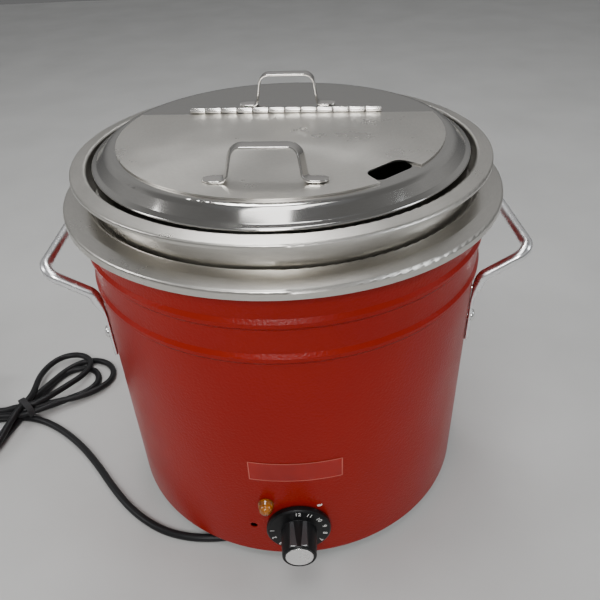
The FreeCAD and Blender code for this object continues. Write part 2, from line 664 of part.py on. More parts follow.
def side_handle(name, side):
    """A chromed rod with two flattened tabs against the drum."""
    tabs = []
    feet = []
    for angle in tab_angles[name]:
        face = facing(angle)
        spot = round_about(angle, size("shell_radius") + 0.05, size("tab_bottom"))
        tab = Part.makeBox(size("tab_width"), size("tab_top - tab_bottom"), size("tab_gauge"))
        across = face.multVec(V(-size("tab_width") / 2, 0, 0))
        tab.Placement = FreeCAD.Placement(spot + across, face)
        tabs.append(tab)
        feet.append(round_about(angle, size("shell_radius + handle_rod + 0.6"), size("tab_top + 1.5")))
    first, last = feet
    reach = side * size("handle_reach")
    grip = size("handle_height")
    bend = 16
    corner_one = V(reach, first.y, grip)
    corner_two = V(reach, last.y, grip)
    rise = (corner_one - first).normalize()
    along = (corner_two - corner_one).normalize()
    path = [first, corner_one - rise * bend, corner_one + along * bend,
            corner_two - along * bend, corner_two - (corner_two - last).normalize() * bend, last]
    edges = []
    for start, finish, centre in ((path[1], path[2], corner_one), (path[3], path[4], corner_two)):
        inward = ((start - centre) + (finish - centre)).normalize()
        half = (start - centre).getAngle(finish - centre) / 2
        radius = bend * math.tan(half)
        middle = centre + inward * (radius / math.sin(half) - radius)
        edges.append(Part.Arc(start, middle, finish).toShape())
    wire = Part.Wire([
        Part.LineSegment(path[0], path[1]).toShape(), edges[0],
        Part.LineSegment(path[2], path[3]).toShape(), edges[1],
        Part.LineSegment(path[4], path[5]).toShape(),
    ])
    ring = Part.Wire([Part.Circle(path[0], rise, size("handle_rod")).toShape()])
    rod = wire.makePipeShell([ring], True, True)
    rod = rod.fuse([Part.makeSphere(size("handle_rod"), spot) for spot in feet])
    rivets = []
    for angle in tab_angles[name]:
        for height in ("rivet_low", "rivet_high"):
            spot = round_about(angle, size(SHELL_INNER) - 6, size(height))
            bore = size("rivet_radius + 0.05")
            rivets.append(Part.makeCylinder(bore, 20, spot, round_about(angle, 1, 0)))
    whole = rod.fuse(tabs).cut(rivets).removeSplitter()
    return node(f"side_handle_{name}", shaped(f"side_handle_{name}", whole))


def handle_rivets(name):
    """Four domed rivets through the tabs and the drum, with a flat head inside."""
    rivets = []
    for angle in tab_angles[name]:
        for height in ("rivet_low", "rivet_high"):
            out = round_about(angle, 1, 0)
            inner = round_about(angle, size(SHELL_INNER) - 1.8, size(height))
            outer = round_about(angle, size("shell_radius + tab_gauge") + 0.1, size(height))
            shank = Part.makeCylinder(size("rivet_radius"), (outer - inner).Length + 1, inner, out)
            washer = Part.makeCylinder(size("rivet_head"), 1.5, inner, out)
            dome = Part.makeSphere(size("rivet_head") * 1.2, outer - out * (size("rivet_head") * 0.66))
            keep = Part.makeCylinder(size("rivet_head") * 1.3, 8, outer, out)
            rivets.append(shank.fuse([washer, dome.common(keep)]).removeSplitter())
    return node(f"handle_rivets_{name}", shaped(f"handle_rivets_{name}", Part.makeCompound(rivets)))


doc.recompute()
for name, side in SIDES.items():
    side_handle(name, side)
    handle_rivets(name)

# ---------------------------------------------------------------- controls on the front
FACE = "-shell_radius"
DIAL_BACK = f"({FACE} - 1.2)"
dial = cylinder("dial_skirt", "dial_radius", "dial_depth", ("0", DIAL_BACK, "knob_height"), TO_FRONT)
grip = cone("dial_grip", "grip_radius + 0.8", "grip_radius", "knob_length - dial_depth",
            ("0", f"{DIAL_BACK} - dial_depth", "knob_height"), TO_FRONT)
bore_end = ("0", f"{DIAL_BACK} + 0.01", "knob_height")
shaft_bore = cylinder("dial_bore", "shaft_radius", "14", bore_end, TO_FRONT)
cap_seat = cylinder("dial_cap_seat", "grip_radius - 2.4", "1",
                    ("0", f"{DIAL_BACK} - knob_length + 0.6", "knob_height"), TO_FRONT)
knob_blank = joined("knob_blank", [dial, grip])
knob_hollows = joined("knob_hollows", [shaft_bore, cap_seat])
node("control_knob", less("control_knob", knob_blank, knob_hollows))
node("knob_cap", cylinder("knob_cap", "grip_radius - 2.5", "1.2",
                          ("0", f"{DIAL_BACK} - knob_length + 0.6", "knob_height"), TO_FRONT))

THERMOSTAT_DEPTH = 34
THERMOSTAT_FRONT = f"(-{SHELL_INNER} + 3)"
node("thermostat_shaft", cylinder("thermostat_shaft", "shaft_radius", "18",
                                  ("0", f"{THERMOSTAT_FRONT} + 1.4", "knob_height"), TO_FRONT))
thermostat_box = block("thermostat_box", "36", str(THERMOSTAT_DEPTH), "36",
                       ("-18", THERMOSTAT_FRONT, "knob_height - 18"))
plate_corner = ("-22", THERMOSTAT_FRONT, "knob_height - 10")
thermostat_plate = block("thermostat_plate", "44", "1.5", "20", plate_corner)
thermostat_bush = cylinder("thermostat_bore", "shaft_radius + 0.06", "6",
                           ("0", f"{THERMOSTAT_FRONT} + 2", "knob_height"), TO_FRONT)
PLATE_SCREWS = (-17, 17)
plate_holes = []
screws = []
for side in PLATE_SCREWS:
    behind = (str(side), f"{THERMOSTAT_FRONT} + 4", "knob_height")
    plate_holes.append(cylinder("plate_hole", "2.05", "6", behind, TO_FRONT))
    tail_end = (str(side), f"{THERMOSTAT_FRONT} + 3.5", "knob_height")
    head_seat = (str(side), f"{THERMOSTAT_FRONT} - 3.5", "knob_height")
    screws.append(joined("plate_screw", [
        cylinder("plate_screw_shank", "2", "7.2", tail_end, TO_FRONT),
        cylinder("plate_screw_head", "3.4", "0.9", head_seat, TO_FRONT),
    ]))
thermostat_blank = joined("thermostat_blank", [thermostat_box, thermostat_plate])
thermostat_holes = joined("thermostat_holes", [thermostat_bush, *plate_holes])
node("thermostat_body", less("thermostat_body", thermostat_blank, thermostat_holes))
node("thermostat_screws", group("thermostat_screws", screws))

LAMP_SEAT = "(-sqrt(shell_radius * shell_radius - lamp_side * lamp_side) - 1.2)"
LENS_BARREL = 4.5
lens_sphere = doc.addObject("Part::Sphere", "lens_sphere")
bind(lens_sphere, Radius="lamp_radius - 0.1")
place(lens_sphere, ("lamp_side", f"{LAMP_SEAT} - {LENS_BARREL}", "lamp_height"))
barrel_end = ("lamp_side", LAMP_SEAT, "lamp_height")
lens_barrel = cylinder("lens_barrel", "lamp_radius", str(LENS_BARREL), barrel_end, TO_FRONT)
stem_end = ("lamp_side", f"{LAMP_SEAT} + 7.5", "lamp_height")
lens_stem = cylinder("lens_stem", "lamp_radius - 2.5", "7.5", stem_end, TO_FRONT)
node("pilot_lamp_lens", joined("pilot_lamp_lens", [lens_sphere, lens_barrel, lens_stem]))
lamp_nut_blank = hexagon("lamp_nut_blank", "2 * lamp_radius - 1", "3",
                         ("lamp_side", f"{LAMP_SEAT} + 6.6", "lamp_height"), TO_FRONT)
lamp_nut_bore = cylinder("lamp_nut_bore", "lamp_radius - 2.45", "9",
                         ("lamp_side", f"{LAMP_SEAT} + 9", "lamp_height"), TO_FRONT)
node("pilot_lamp_nut", less("pilot_lamp_nut", lamp_nut_blank, lamp_nut_bore))
node("pilot_lamp_body", cylinder("pilot_lamp_body", "lamp_radius - 2", "6",
                                 ("lamp_side", f"{LAMP_SEAT} + 13.6", "lamp_height"), TO_FRONT))

# Plain label: a thin curved plate against the drum.
LABEL_HALF = 36
LABEL_LOW = 105
LABEL_TALL = 20
label_base = ("0", "0", str(LABEL_LOW))
label_front = cylinder("label_front", "shell_radius + 0.45", str(LABEL_TALL), label_base)
label_rear = cylinder("label_rear", "shell_radius + 0.05", str(LABEL_TALL), label_base)
label_ring = less("label_ring", label_front, label_rear)
label_keep = block("label_keep", str(2 * LABEL_HALF), "200", "40", (str(-LABEL_HALF), "-200", "95"))
label = doc.addObject("Part::Common", "front_label")
label.Base = label_ring
label.Tool = label_keep
node("front_label", label)

# ---------------------------------------------------------------- heating, inside the drum
HEATER_TOP = f"({WELL_BASE} - 0.05)"
SPREADER = 5
spreader_disc = cylinder("spreader_disc", "96", str(SPREADER), ("0", "0", f"{HEATER_TOP} - {SPREADER}"))
spreader_bore = cylinder("spreader_bore", "12", "10", ("0", "0", f"{HEATER_TOP} - 8"))
node("spreader_plate", less("spreader_plate", spreader_disc, spreader_bore))
ELEMENT_RADIUS = 4
ELEMENT_RING = 74
element_height = size(HEATER_TOP) - SPREADER - ELEMENT_RADIUS - 0.05


def heating_element():
    """A tubular element: nearly a full turn under the spreader, with two cold ends turned down."""
    opening = math.radians(12)
    radius = ELEMENT_RING
    start = V(radius * math.sin(opening), -radius * math.cos(opening), element_height)
    finish = V(-start.x, start.y, element_height)
    arc = Part.Arc(start, V(0, radius, element_height), finish).toShape()
    tangent = V(-start.y, start.x, 0).normalize()
    ring = Part.Wire([Part.Circle(start, tangent, ELEMENT_RADIUS).toShape()])
    turn = Part.Wire([arc]).makePipeShell([ring], True, True)
    ends = []
    for spot in (start, finish):
        ends.append(Part.makeSphere(ELEMENT_RADIUS, spot))
        ends.append(Part.makeCylinder(ELEMENT_RADIUS, 16, spot, V(0, 0, -1)))
    return turn.fuse(ends).removeSplitter()


node("heating_element", shaped("heating_element", heating_element()))
clamps = []
for angle in (90, 180, 270):
    spot = round_about(angle, ELEMENT_RING, 0)
    across = facing(angle)
    height = element_height - ELEMENT_RADIUS - 2.05
    strap = block("element_strap", "14", "2", "29", FreeCAD.Placement(
        V(spot.x, spot.y, height) + across.multVec(V(-7, 0, -14.5)), across))
    legs = []
    for shift in (-11, 11):
        leg_spot = round_about(angle, ELEMENT_RING + shift, height + 2)
        legs.append(cylinder("element_leg", "2", str(2 * ELEMENT_RADIUS + 0.05), tuple(leg_spot)))
    clamps.append(joined("element_clamp", [strap, *legs]))
node("element_clamps", group("element_clamps", clamps))

cutout_spot = round_about(150, 40, size(HEATER_TOP) - SPREADER - 10.1)
node("thermal_cutout", joined("thermal_cutout", [
    cylinder("cutout_can", "8", "10", (cutout_spot.x, cutout_spot.y, cutout_spot.z)),
    block("cutout_ears", "30", "8", "1", (cutout_spot.x - 15, cutout_spot.y - 4, cutout_spot.z + 9)),
]))

SHIELD = 47
shield = less("heat_shield", cylinder("shield_disc", "104", "0.8", ("0", "0", str(SHIELD))),
              cylinder("shield_bore", "stud_radius + 0.2", "4", ("0", "0", str(SHIELD - 2))))
node("heat_shield", shield)
node("tie_stud", joined("tie_stud", [
    cylinder("stud_rod", "stud_radius", f"{WELL_BASE} - ({PAN_UNDER} - 7)", ("0", "0", f"{PAN_UNDER} - 7")),
    cylinder("stud_flange", "9", "2", ("0", "0", f"{WELL_BASE} - 2")),
]))


def nut(name, radius, height, at, turn=None):
    """A hexagon nut with its bore."""
    blank = hexagon(f"{name}_blank", f"3.3 * ({radius})", height, at, turn)
    below = (at[0], at[1], f"{at[2]} - 4")
    bore = cylinder(f"{name}_bore", f"{radius} + 0.01", f"({height}) + 8", below, turn)
    return less(name, blank, bore)


node("tie_nut", nut("tie_nut", "stud_radius", "5", ("0", "0", f"{PAN_UNDER} - 6.6")))
node("tie_washer", less("tie_washer",
                        cylinder("washer_disc", "10", "1.5", ("0", "0", f"{PAN_UNDER} - 1.55")),
                        cylinder("washer_bore", "stud_radius + 0.2", "5", ("0", "0", f"{PAN_UNDER} - 3"))))
spacer_ring = less("shield_spacer",
                   cylinder("spacer_tube", "5", f"{SHIELD} - {PAN_TOP} - 0.05", ("0", "0", f"{PAN_TOP}")),
                   cylinder("spacer_bore", "stud_radius + 0.2", "60", ("0", "0", f"{PAN_TOP} - 2")))
node("shield_spacer", spacer_ring)
node("shield_nut", nut("shield_nut", "stud_radius", "5", ("0", "0", f"{SHIELD} + 0.85")))

BLANKET_LOW = 92
BLANKET_HIGH = "(shell_top - blanket_down)"
blanket = less("insulation_blanket",
               cylinder("blanket_outside", f"{SHELL_INNER} - 4", f"{BLANKET_HIGH} - {BLANKET_LOW}",
                        ("0", "0", str(BLANKET_LOW))),
               cylinder("blanket_inside", f"{WELL_OUTER} + 3.5", "300", ("0", "0", "80")))
node("insulation_blanket", blanket)

bulb_spot = round_about(0, 30, size(HEATER_TOP) - SPREADER - 3.3)
bulb_half = V(30, 0, 0)
node("thermostat_bulb", cylinder("thermostat_bulb", "3.2", "60", tuple(bulb_spot - bulb_half), TO_RIGHT))
bulb_tail = bulb_spot + bulb_half
capillary_route = [
    bulb_tail,
    bulb_tail + V(14, 0, 0),
    bulb_tail + V(24, -10, -6),
    V(48, -62, 58),
    V(36, -84, 56),
    V(19, -100, 55),
    V(10, -112, 53),
    V(8, size(f"{THERMOSTAT_FRONT}") + THERMOSTAT_DEPTH, 52),
]
capillary, capillary_radii, capillary_length = rod_along(capillary_route, 0.9)
node("thermostat_capillary", shaped("thermostat_capillary", capillary))

# ---------------------------------------------------------------- electrics on the base pan
terminal = block("terminal_base", "46", "22", "6", ("-70", "20", PAN_TOP))
terminal_top = block("terminal_top", "42", "14", "12", ("-68", "24", f"{PAN_TOP} + 5.5"))
terminal_bores = [
    cylinder("terminal_bore", "2", "30", (across, "46", f"{PAN_TOP} + 11"), TO_FRONT)
    for across in ("-60", "-47", "-34")
]
node("terminal_block", less("terminal_block", joined("terminal_blank", [terminal, terminal_top]),
                            joined("terminal_wells", terminal_bores)))
node("earth_stud", joined("earth_stud", [
    cylinder("earth_rod", "2.5", "14", ("-20", "62", PAN_TOP)),
    hexagon("earth_nut", "9", "4", ("-20", "62", f"{PAN_TOP} + 4")),
]))

feet = []
for angle, name in zip(FOOT_ANGLES, ("front_right", "rear_right", "rear_left", "front_left")):
    spot = round_about(angle, size("foot_circle"), 0)
    blank = cone(f"foot_blank_{name}", "foot_radius - 1.5", "foot_radius", PAN_UNDER, (spot.x, spot.y, "0"))
    recess = cylinder(f"foot_recess_{name}", "5.5", "8", (spot.x, spot.y, "-0.01"))
    bore = cylinder(f"foot_bore_{name}", "2.1", "60", (spot.x, spot.y, "0"))
    node(f"foot_{name}", less(f"foot_{name}", blank, joined(f"foot_hollow_{name}", [recess, bore])))
    screw = joined("foot_screw", [
        cylinder("foot_screw_head", "4", "2.4", (spot.x, spot.y, "5.55")),
        cylinder("foot_screw_shank", "2", f"{PAN_TOP} - 5.5 + 6", (spot.x, spot.y, "6")),
    ])
    feet.append((screw, nut("foot_nut", "2", "3.2", (spot.x, spot.y, f"{PAN_TOP} + 0.02"))))
node("foot_screws", group("foot_screws", [screw for screw, fastener in feet]))
node("foot_nuts", group("foot_nuts", [fastener for screw, fastener in feet]))

# ---------------------------------------------------------------- mains lead
EXIT = V(16, -82, size("cord_exit_height"))
EXIT_HEADING = V(-0.5, -0.866, 0).normalize()
RELIEF_LENGTH = 30
GRIP_PLACE = EXIT - EXIT_HEADING * RELIEF_LENGTH
lead_turn = FreeCAD.Rotation(TURN_Z, math.degrees(math.atan2(EXIT_HEADING.x, -EXIT_HEADING.y))) * TO_FRONT


def along_exit(distance):
    return GRIP_PLACE + EXIT_HEADING * distance


def bracket_piece(name, distance, drop, tall, deep):
    """One leg of the bracket under the pan, square to the lead."""
    at = along_exit(distance) + lead_turn.multVec(V(-17, 0, 0))
    at.z = size(PAN_UNDER) - drop
    return block(name, "34", tall, deep, FreeCAD.Placement(at, lead_turn))


bracket_plate = bracket_piece("bracket_plate", -1.5, 20.05, "20", "1.5")
bracket_foot = bracket_piece("bracket_foot", -16, 1.55, "1.5", "16")
bracket_bore = cylinder("bracket_bore", "6.05", "6", tuple(along_exit(-3)), lead_turn)
bracket_blank = joined("bracket_blank", [bracket_plate, bracket_foot])
node("cord_bracket", less("cord_bracket", bracket_blank, bracket_bore))
relief_parts = [
    cylinder("relief_neck", "6", "5", tuple(along_exit(-4)), lead_turn),
    cylinder("relief_collar", "8", "3", tuple(along_exit(0.05)), lead_turn),
    cylinder("relief_inner", "8", "2.5", tuple(along_exit(-6)), lead_turn),
    cone("relief_sleeve", "6.2", "cord_radius + 0.9", f"{RELIEF_LENGTH} - 3", tuple(along_exit(3)), lead_turn),
]
node("strain_relief", joined("strain_relief", relief_parts))

LYING = size("cord_radius") + 0.1
# The lead's route from the strain relief to the tie of its hank. Points chosen by hand.
LEAD_ROUTE = [
    EXIT,
    V(7.5, -97, 12.6),
    V(-7, -113, 9),
    V(-26, -126, 5.2),
    V(-48, -133.5, 3.7),
    V(-71, -136.5, LYING),
    V(-98, -135, LYING),
    V(-126, -126, LYING),
    V(-155, -105, LYING),
    V(-180, -77, LYING),
    V(-202, -48, LYING),
    V(-225, -22, LYING),
    V(-252, 1.5, LYING),
    V(-277, 17, LYING),
]
lead, lead_radii, lead_length = rod_along(LEAD_ROUTE, size("cord_radius"))
node("cord_lead", shaped("cord_lead", lead))
print("lead bend radii", [round(radius) for radius in lead_radii], "length", round(lead_length))

# The rest of the lead is tied into a bow. On the drum's side its loops cross, on the far side they nest.
TIE = V(-298, 29, 0)
TIE_AXIS = FreeCAD.Rotation(TURN_Z, 44)
CROSSING_LOOPS = (
    # heading from the tie in degrees, length, width
    (50, 88, 44),
    (48, 106, 60),
    (69, 99, 46),
)
NESTED_LOOPS = (
    (219, 80, 41),
    (217, 91, 58),
    (221, 101, 76),
)
LOOP_ROOM = 5
LOOP_NECK = 5


def loop(heading, length, width, height):
    """The outer shape of one loop of the bow: narrow at the tie, round at its far end."""
    turn = FreeCAD.Rotation(TURN_Z, heading)
    half = width / 2 + LOOP_ROOM
    reach = length + LOOP_ROOM
    side = V(reach * 0.45, half * 0.9, 0)
    spots = [
        V(0, -LOOP_NECK, 0),
        V(side.x, -side.y, 0),
        V(reach - half, -half, 0),
        V(reach, 0, 0),
        V(reach - half, half, 0),
        side,
        V(0, LOOP_NECK, 0),
    ]
    places = [TIE + turn.multVec(spot) for spot in spots]
    edges = [
        Part.LineSegment(places[0], places[1]).toShape(),
        Part.LineSegment(places[1], places[2]).toShape(),
        Part.Arc(places[2], places[3], places[4]).toShape(),
        Part.LineSegment(places[4], places[5]).toShape(),
        Part.LineSegment(places[5], places[6]).toShape(),
        Part.LineSegment(places[6], places[0]).toShape(),
    ]
    return Part.Face(Part.Wire(edges)).extrude(V(0, 0, size(height)))


def across_tie(length, width, height, sideways=0, low=0):
    """A box at the tie, square to its strands."""
    box = Part.makeBox(length, width, height, V(-length / 2, sideways - width / 2, low))
    box.Placement = FreeCAD.Placement(TIE, TIE_AXIS)
    return box


KNOT_LENGTH = 24
knot = across_tie(KNOT_LENGTH, size("knot_width"), size("knot_height"))
loops = [loop(*shape, "fan_height") for shape in CROSSING_LOOPS]
loops += [loop(*shape, "flat_height") for shape in NESTED_LOOPS]
node("cord_hank", shaped("cord_hank", knot.fuse(loops).removeSplitter()))

# The last stretch runs from the tie to the plug.
TAIL_ROUTE = [
    V(-309, 27, 15.8),
    V(-323, 25.5, 12),
    V(-337, 29.5, 11.4),
    V(-348, 38, 13.6),
    V(-356, 50, 18.2),
]
tail, tail_radii, tail_length = rod_along(TAIL_ROUTE, size("cord_radius"))
node("cord_tail", shaped("cord_tail", tail))
print("tail bend radii", [round(radius) for radius in tail_radii], "length", round(tail_length))

# Plug: a straight moulded plug with two round pins, lying beside the hank.
PLUG_TAIL = TAIL_ROUTE[-1]
PLUG_HEADING = V(-0.62, 0.785, 0).normalize()
PLUG_STEPS = ((4.6, 7, 14), (7, 11, 10), (11, 18, 6), (18, 18, 14))
PIN_RADIUS = 2.4
PIN_LENGTH = 19
PIN_HALF_PITCH = 9.5

stages = []
spot = PLUG_TAIL
for low, high, length in PLUG_STEPS:
    if low == high:
        stages.append(Part.makeCylinder(low, length, spot, PLUG_HEADING))
    else:
        stages.append(Part.makeCone(low, high, length, spot, PLUG_HEADING))
    spot = spot + PLUG_HEADING * length
plug_nose = spot
node("plug_body", shaped("plug_body", stages[0].fuse(stages[1:]).removeSplitter()))
pin_across = PLUG_HEADING.cross(TURN_Z).normalize()
pins = []
for side in (-1, 1):
    root = plug_nose + pin_across * (side * PIN_HALF_PITCH)
    pin = Part.makeCylinder(PIN_RADIUS, PIN_LENGTH - PIN_RADIUS, root, PLUG_HEADING)
    tip = Part.makeSphere(PIN_RADIUS, root + PLUG_HEADING * (PIN_LENGTH - PIN_RADIUS))
    pins.append(pin.fuse(tip).removeSplitter())
node("plug_pins", shaped("plug_pins", Part.makeCompound(pins)))

# A band over the strands, square across them. It is open where they lie on the table.
TIE_WIDTH = 7
TIE_CLEAR = 0.2
gauge = size("tie_gauge")
half_knot = size("knot_width / 2")
cover = across_tie(TIE_WIDTH, size("knot_width + 2 * tie_gauge"), gauge, 0, size("knot_height"))
cheek_height = size("knot_height + tie_gauge") - TIE_CLEAR
cheek_out = half_knot + gauge / 2
cheeks = [across_tie(TIE_WIDTH, gauge, cheek_height, side * cheek_out, TIE_CLEAR) for side in (-1, 1)]
node("cord_tie", shaped("cord_tie", cover.fuse(cheeks).removeSplitter()))

# ---------------------------------------------------------------- wiring inside
wires = []
WIRE_RADIUS = 1.25
inside = size(PAN_TOP)
thermostat_back = size(f"{THERMOSTAT_FRONT} + {THERMOSTAT_DEPTH}") + 0.25
lamp_back = size(f"{LAMP_SEAT} + 13.6") + 0.35
for route in (
    [
        V(-60, 20, inside + 11),
        V(-62, 4, inside + 14),
        V(-60, -40, 44),
        V(-44, -80, 44),
        V(-16, thermostat_back + 12, 44.6),
        V(-14, thermostat_back, 46),
    ],
    [
        V(-47, 20, inside + 11),
        V(-48, 2, inside + 13),
        V(-46, -50, 39),
        V(-50, -88, 41),
        V(-44, -112, 49),
        V(-28, lamp_back + 16, 72),
        V(size("lamp_side"), lamp_back, size("lamp_height")),
    ],
    [
        V(-47, 46, inside + 11),
        V(-46, 56, inside + 12),
        V(-34, 62, inside + 12),
        V(-24, 62, inside + 12),
    ],
):
    wire, radii, length = rod_along(route, WIRE_RADIUS)
    wires.append(wire)
node("wiring", shaped("wiring", Part.makeCompound(wires)))

# ---------------------------------------------------------------- check and export
doc.recompute()
for item in doc.Objects:
    if {"Invalid", "Error"} & set(item.State):
        raise RuntimeError(f"{item.Name} failed: {item.State}")
os.makedirs("parts", exist_ok=True)
for name, piece in nodes.items():
    shape = piece.Shape
    if shape.isNull() or not shape.isValid() or not shape.Solids:
        raise RuntimeError(f"{name} has no valid solid")
    shape.exportStep(f"parts/{name}.step")
    print(f"{name}: {len(shape.Solids)} solids, {shape.Volume / 1000:.2f} cm3")
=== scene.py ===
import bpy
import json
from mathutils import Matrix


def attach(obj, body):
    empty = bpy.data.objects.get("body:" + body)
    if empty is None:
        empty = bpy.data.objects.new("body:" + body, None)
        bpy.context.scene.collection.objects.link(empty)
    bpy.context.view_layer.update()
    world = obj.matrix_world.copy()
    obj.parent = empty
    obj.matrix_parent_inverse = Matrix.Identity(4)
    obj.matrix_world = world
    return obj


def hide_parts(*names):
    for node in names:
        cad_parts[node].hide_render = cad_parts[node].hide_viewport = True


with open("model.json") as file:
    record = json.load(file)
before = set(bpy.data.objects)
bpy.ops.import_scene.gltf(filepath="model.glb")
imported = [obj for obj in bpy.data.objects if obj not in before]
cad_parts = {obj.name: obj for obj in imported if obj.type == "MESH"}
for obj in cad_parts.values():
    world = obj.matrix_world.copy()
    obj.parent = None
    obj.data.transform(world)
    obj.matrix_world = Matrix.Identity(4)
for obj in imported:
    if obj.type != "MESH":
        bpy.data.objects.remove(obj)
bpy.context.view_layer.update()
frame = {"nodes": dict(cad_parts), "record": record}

import json
import math

import bmesh
import bpy
from mathutils import Matrix, Vector

# Looks for an electric soup kettle: red drum, stainless well and pot, lid with a hinged flap, and a
# mains lead tied in a bow.
# Lengths are written in millimetres and scaled once, by MM.
MM = 0.001


def at(*place):
    """A place given in millimetres, in metres."""
    return Vector(place) * MM


# ---------------------------------------------------------------- camera
PITCH = math.radians(35.13)
ROLL = math.radians(-2.55)
CAMERA_PLACE = (9.2, -453.3, 481.3)
FOCAL_LENGTH = 36
SENSOR_WIDTH = 36
ahead = Vector((0, math.cos(PITCH), -math.sin(PITCH)))
level = Vector((1, 0, 0))
upward = Vector((0, math.sin(PITCH), math.cos(PITCH)))
across = level * math.cos(ROLL) + upward * math.sin(ROLL)
above = upward * math.cos(ROLL) - level * math.sin(ROLL)
camera = bpy.data.objects.new("camera", bpy.data.cameras.new("camera"))
camera.data.lens = FOCAL_LENGTH
camera.data.sensor_width = SENSOR_WIDTH
facing = Matrix((across, above, -ahead)).transposed().to_4x4()
camera.matrix_world = Matrix.Translation(at(*CAMERA_PLACE)) @ facing
bpy.context.scene.collection.objects.link(camera)
bpy.context.scene.camera = camera


def shown(name, data):
    """An object in the scene."""
    piece = bpy.data.objects.new(name, data)
    bpy.context.scene.collection.objects.link(piece)
    return piece


# ---------------------------------------------------------------- mains lead
CORD_RADIUS = 3.5
EXIT = (16, -82, 14)
LEAD = [
    EXIT, (7.5, -97, 12.6), (-7, -113, 9), (-26, -126, 5.2), (-48, -133.5, 3.7), (-71, -136.5, 3.6),
    (-98, -135, 3.6), (-126, -126, 3.6), (-155, -105, 3.6), (-180, -77, 3.6), (-202, -48, 3.6),
    (-225, -22, 3.6), (-252, 1.5, 3.6), (-280, 18.5, 3.6), (-306, 24.5, 3.6),
]
TAIL = [(-309, 27, 15.8), (-323, 25.5, 12), (-337, 29.5, 11.4), (-348, 38, 13.6), (-356, 50, 18.2)]
TIE = Vector((-298, 29, 0))
TIE_AXIS = math.radians(44)
TIE_HALF = 12
SLANT = math.radians(20)
# Each strand's place in the tie: sideways and up.
SLOTS = [(3.6, 4.6), (-7.2, 10.7), (7.2, 10.7), (0, 10.8), (3.6, 16.9), (-3.6, 16.9)]
# heading from the tie, length, width, height at the far end
LEFT_LOBES = [(219, 84, 50, 3.6), (217, 91, 58, 3.6), (221, 101, 76, 3.6)]
RIGHT_LOBES = [(50, 88, 49, 3.6), (48, 106, 60, 3.6), (69, 99, 51, 8)]
LOBE_STEPS = 10
LOBE_START = 0.46


def tie_pass(number, direction):
    """The two points where a strand goes through the tie, slanted so that the bow's strands cross there."""
    angle = TIE_AXIS + SLANT * direction
    along = Vector((math.cos(angle), math.sin(angle), 0)) * direction
    beside = Vector((-math.sin(TIE_AXIS), math.cos(TIE_AXIS), 0))
    sideways, height = SLOTS[number]
    middle = TIE + beside * sideways + Vector((0, 0, height))
    return [middle - along * TIE_HALF, middle + along * TIE_HALF]


def lobe_points(heading, length, width, far_height, out_height, back_height, side):
    """One loop of the bow, starting on the given side. It is wide at its far end and sinks from the tie."""
    points = []
    turn = Matrix.Rotation(math.radians(heading), 3, "Z")
    for step in range(LOBE_STEPS):
        swing = LOBE_START + (math.pi - 2 * LOBE_START) * step / (LOBE_STEPS - 1)
        share = abs(swing - math.pi / 2) / (math.pi / 2)
        near = out_height if swing < math.pi / 2 else back_height
        height = far_height + (near - far_height) * share * share
        local = Vector((length * math.sin(swing), side * width / 2 * math.sin(2 * swing), 0))
        points.append(TIE + turn @ local + Vector((0, 0, height)))
    return points


route = [Vector(point) for point in LEAD]
leaving = LEAD[-1][2]
for number, (left, right) in enumerate(zip(LEFT_LOBES, RIGHT_LOBES)):
    inward, outward = SLOTS[2 * number][1], SLOTS[2 * number + 1][1]
    route += lobe_points(*left, leaving, inward, -1) + tie_pass(2 * number, 1)
    route += lobe_points(*right, inward, outward, 1) + tie_pass(2 * number + 1, -1)
    leaving = outward
route = route[:-1] + [Vector(point) for point in TAIL]

cord_line = bpy.data.curves.new("mains_lead", "CURVE")
cord_line.dimensions = "3D"
cord_line.resolution_u = 8
# The bevel is 1 m deep and each point's radius scales it, so the curve's own bounds are true.
cord_line.bevel_depth = 1
cord_line.bevel_resolution = 6
cord_line.use_fill_caps = True
spline = cord_line.splines.new("NURBS")
spline.points.add(len(route) - 1)
for point, place in zip(spline.points, route):
    point.co = (*(place * MM), 1)
    point.radius = CORD_RADIUS * MM
spline.order_u = 3
spline.use_endpoint_u = True
cord = shown("mains_lead", cord_line)
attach(cord, "housing")
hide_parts("cord_lead", "cord_hank", "cord_tail")


# ---------------------------------------------------------------- finishes
# How slowly the turned grain changes round the axis, in metres for each radian.
GRAIN_STRETCH = 0.03


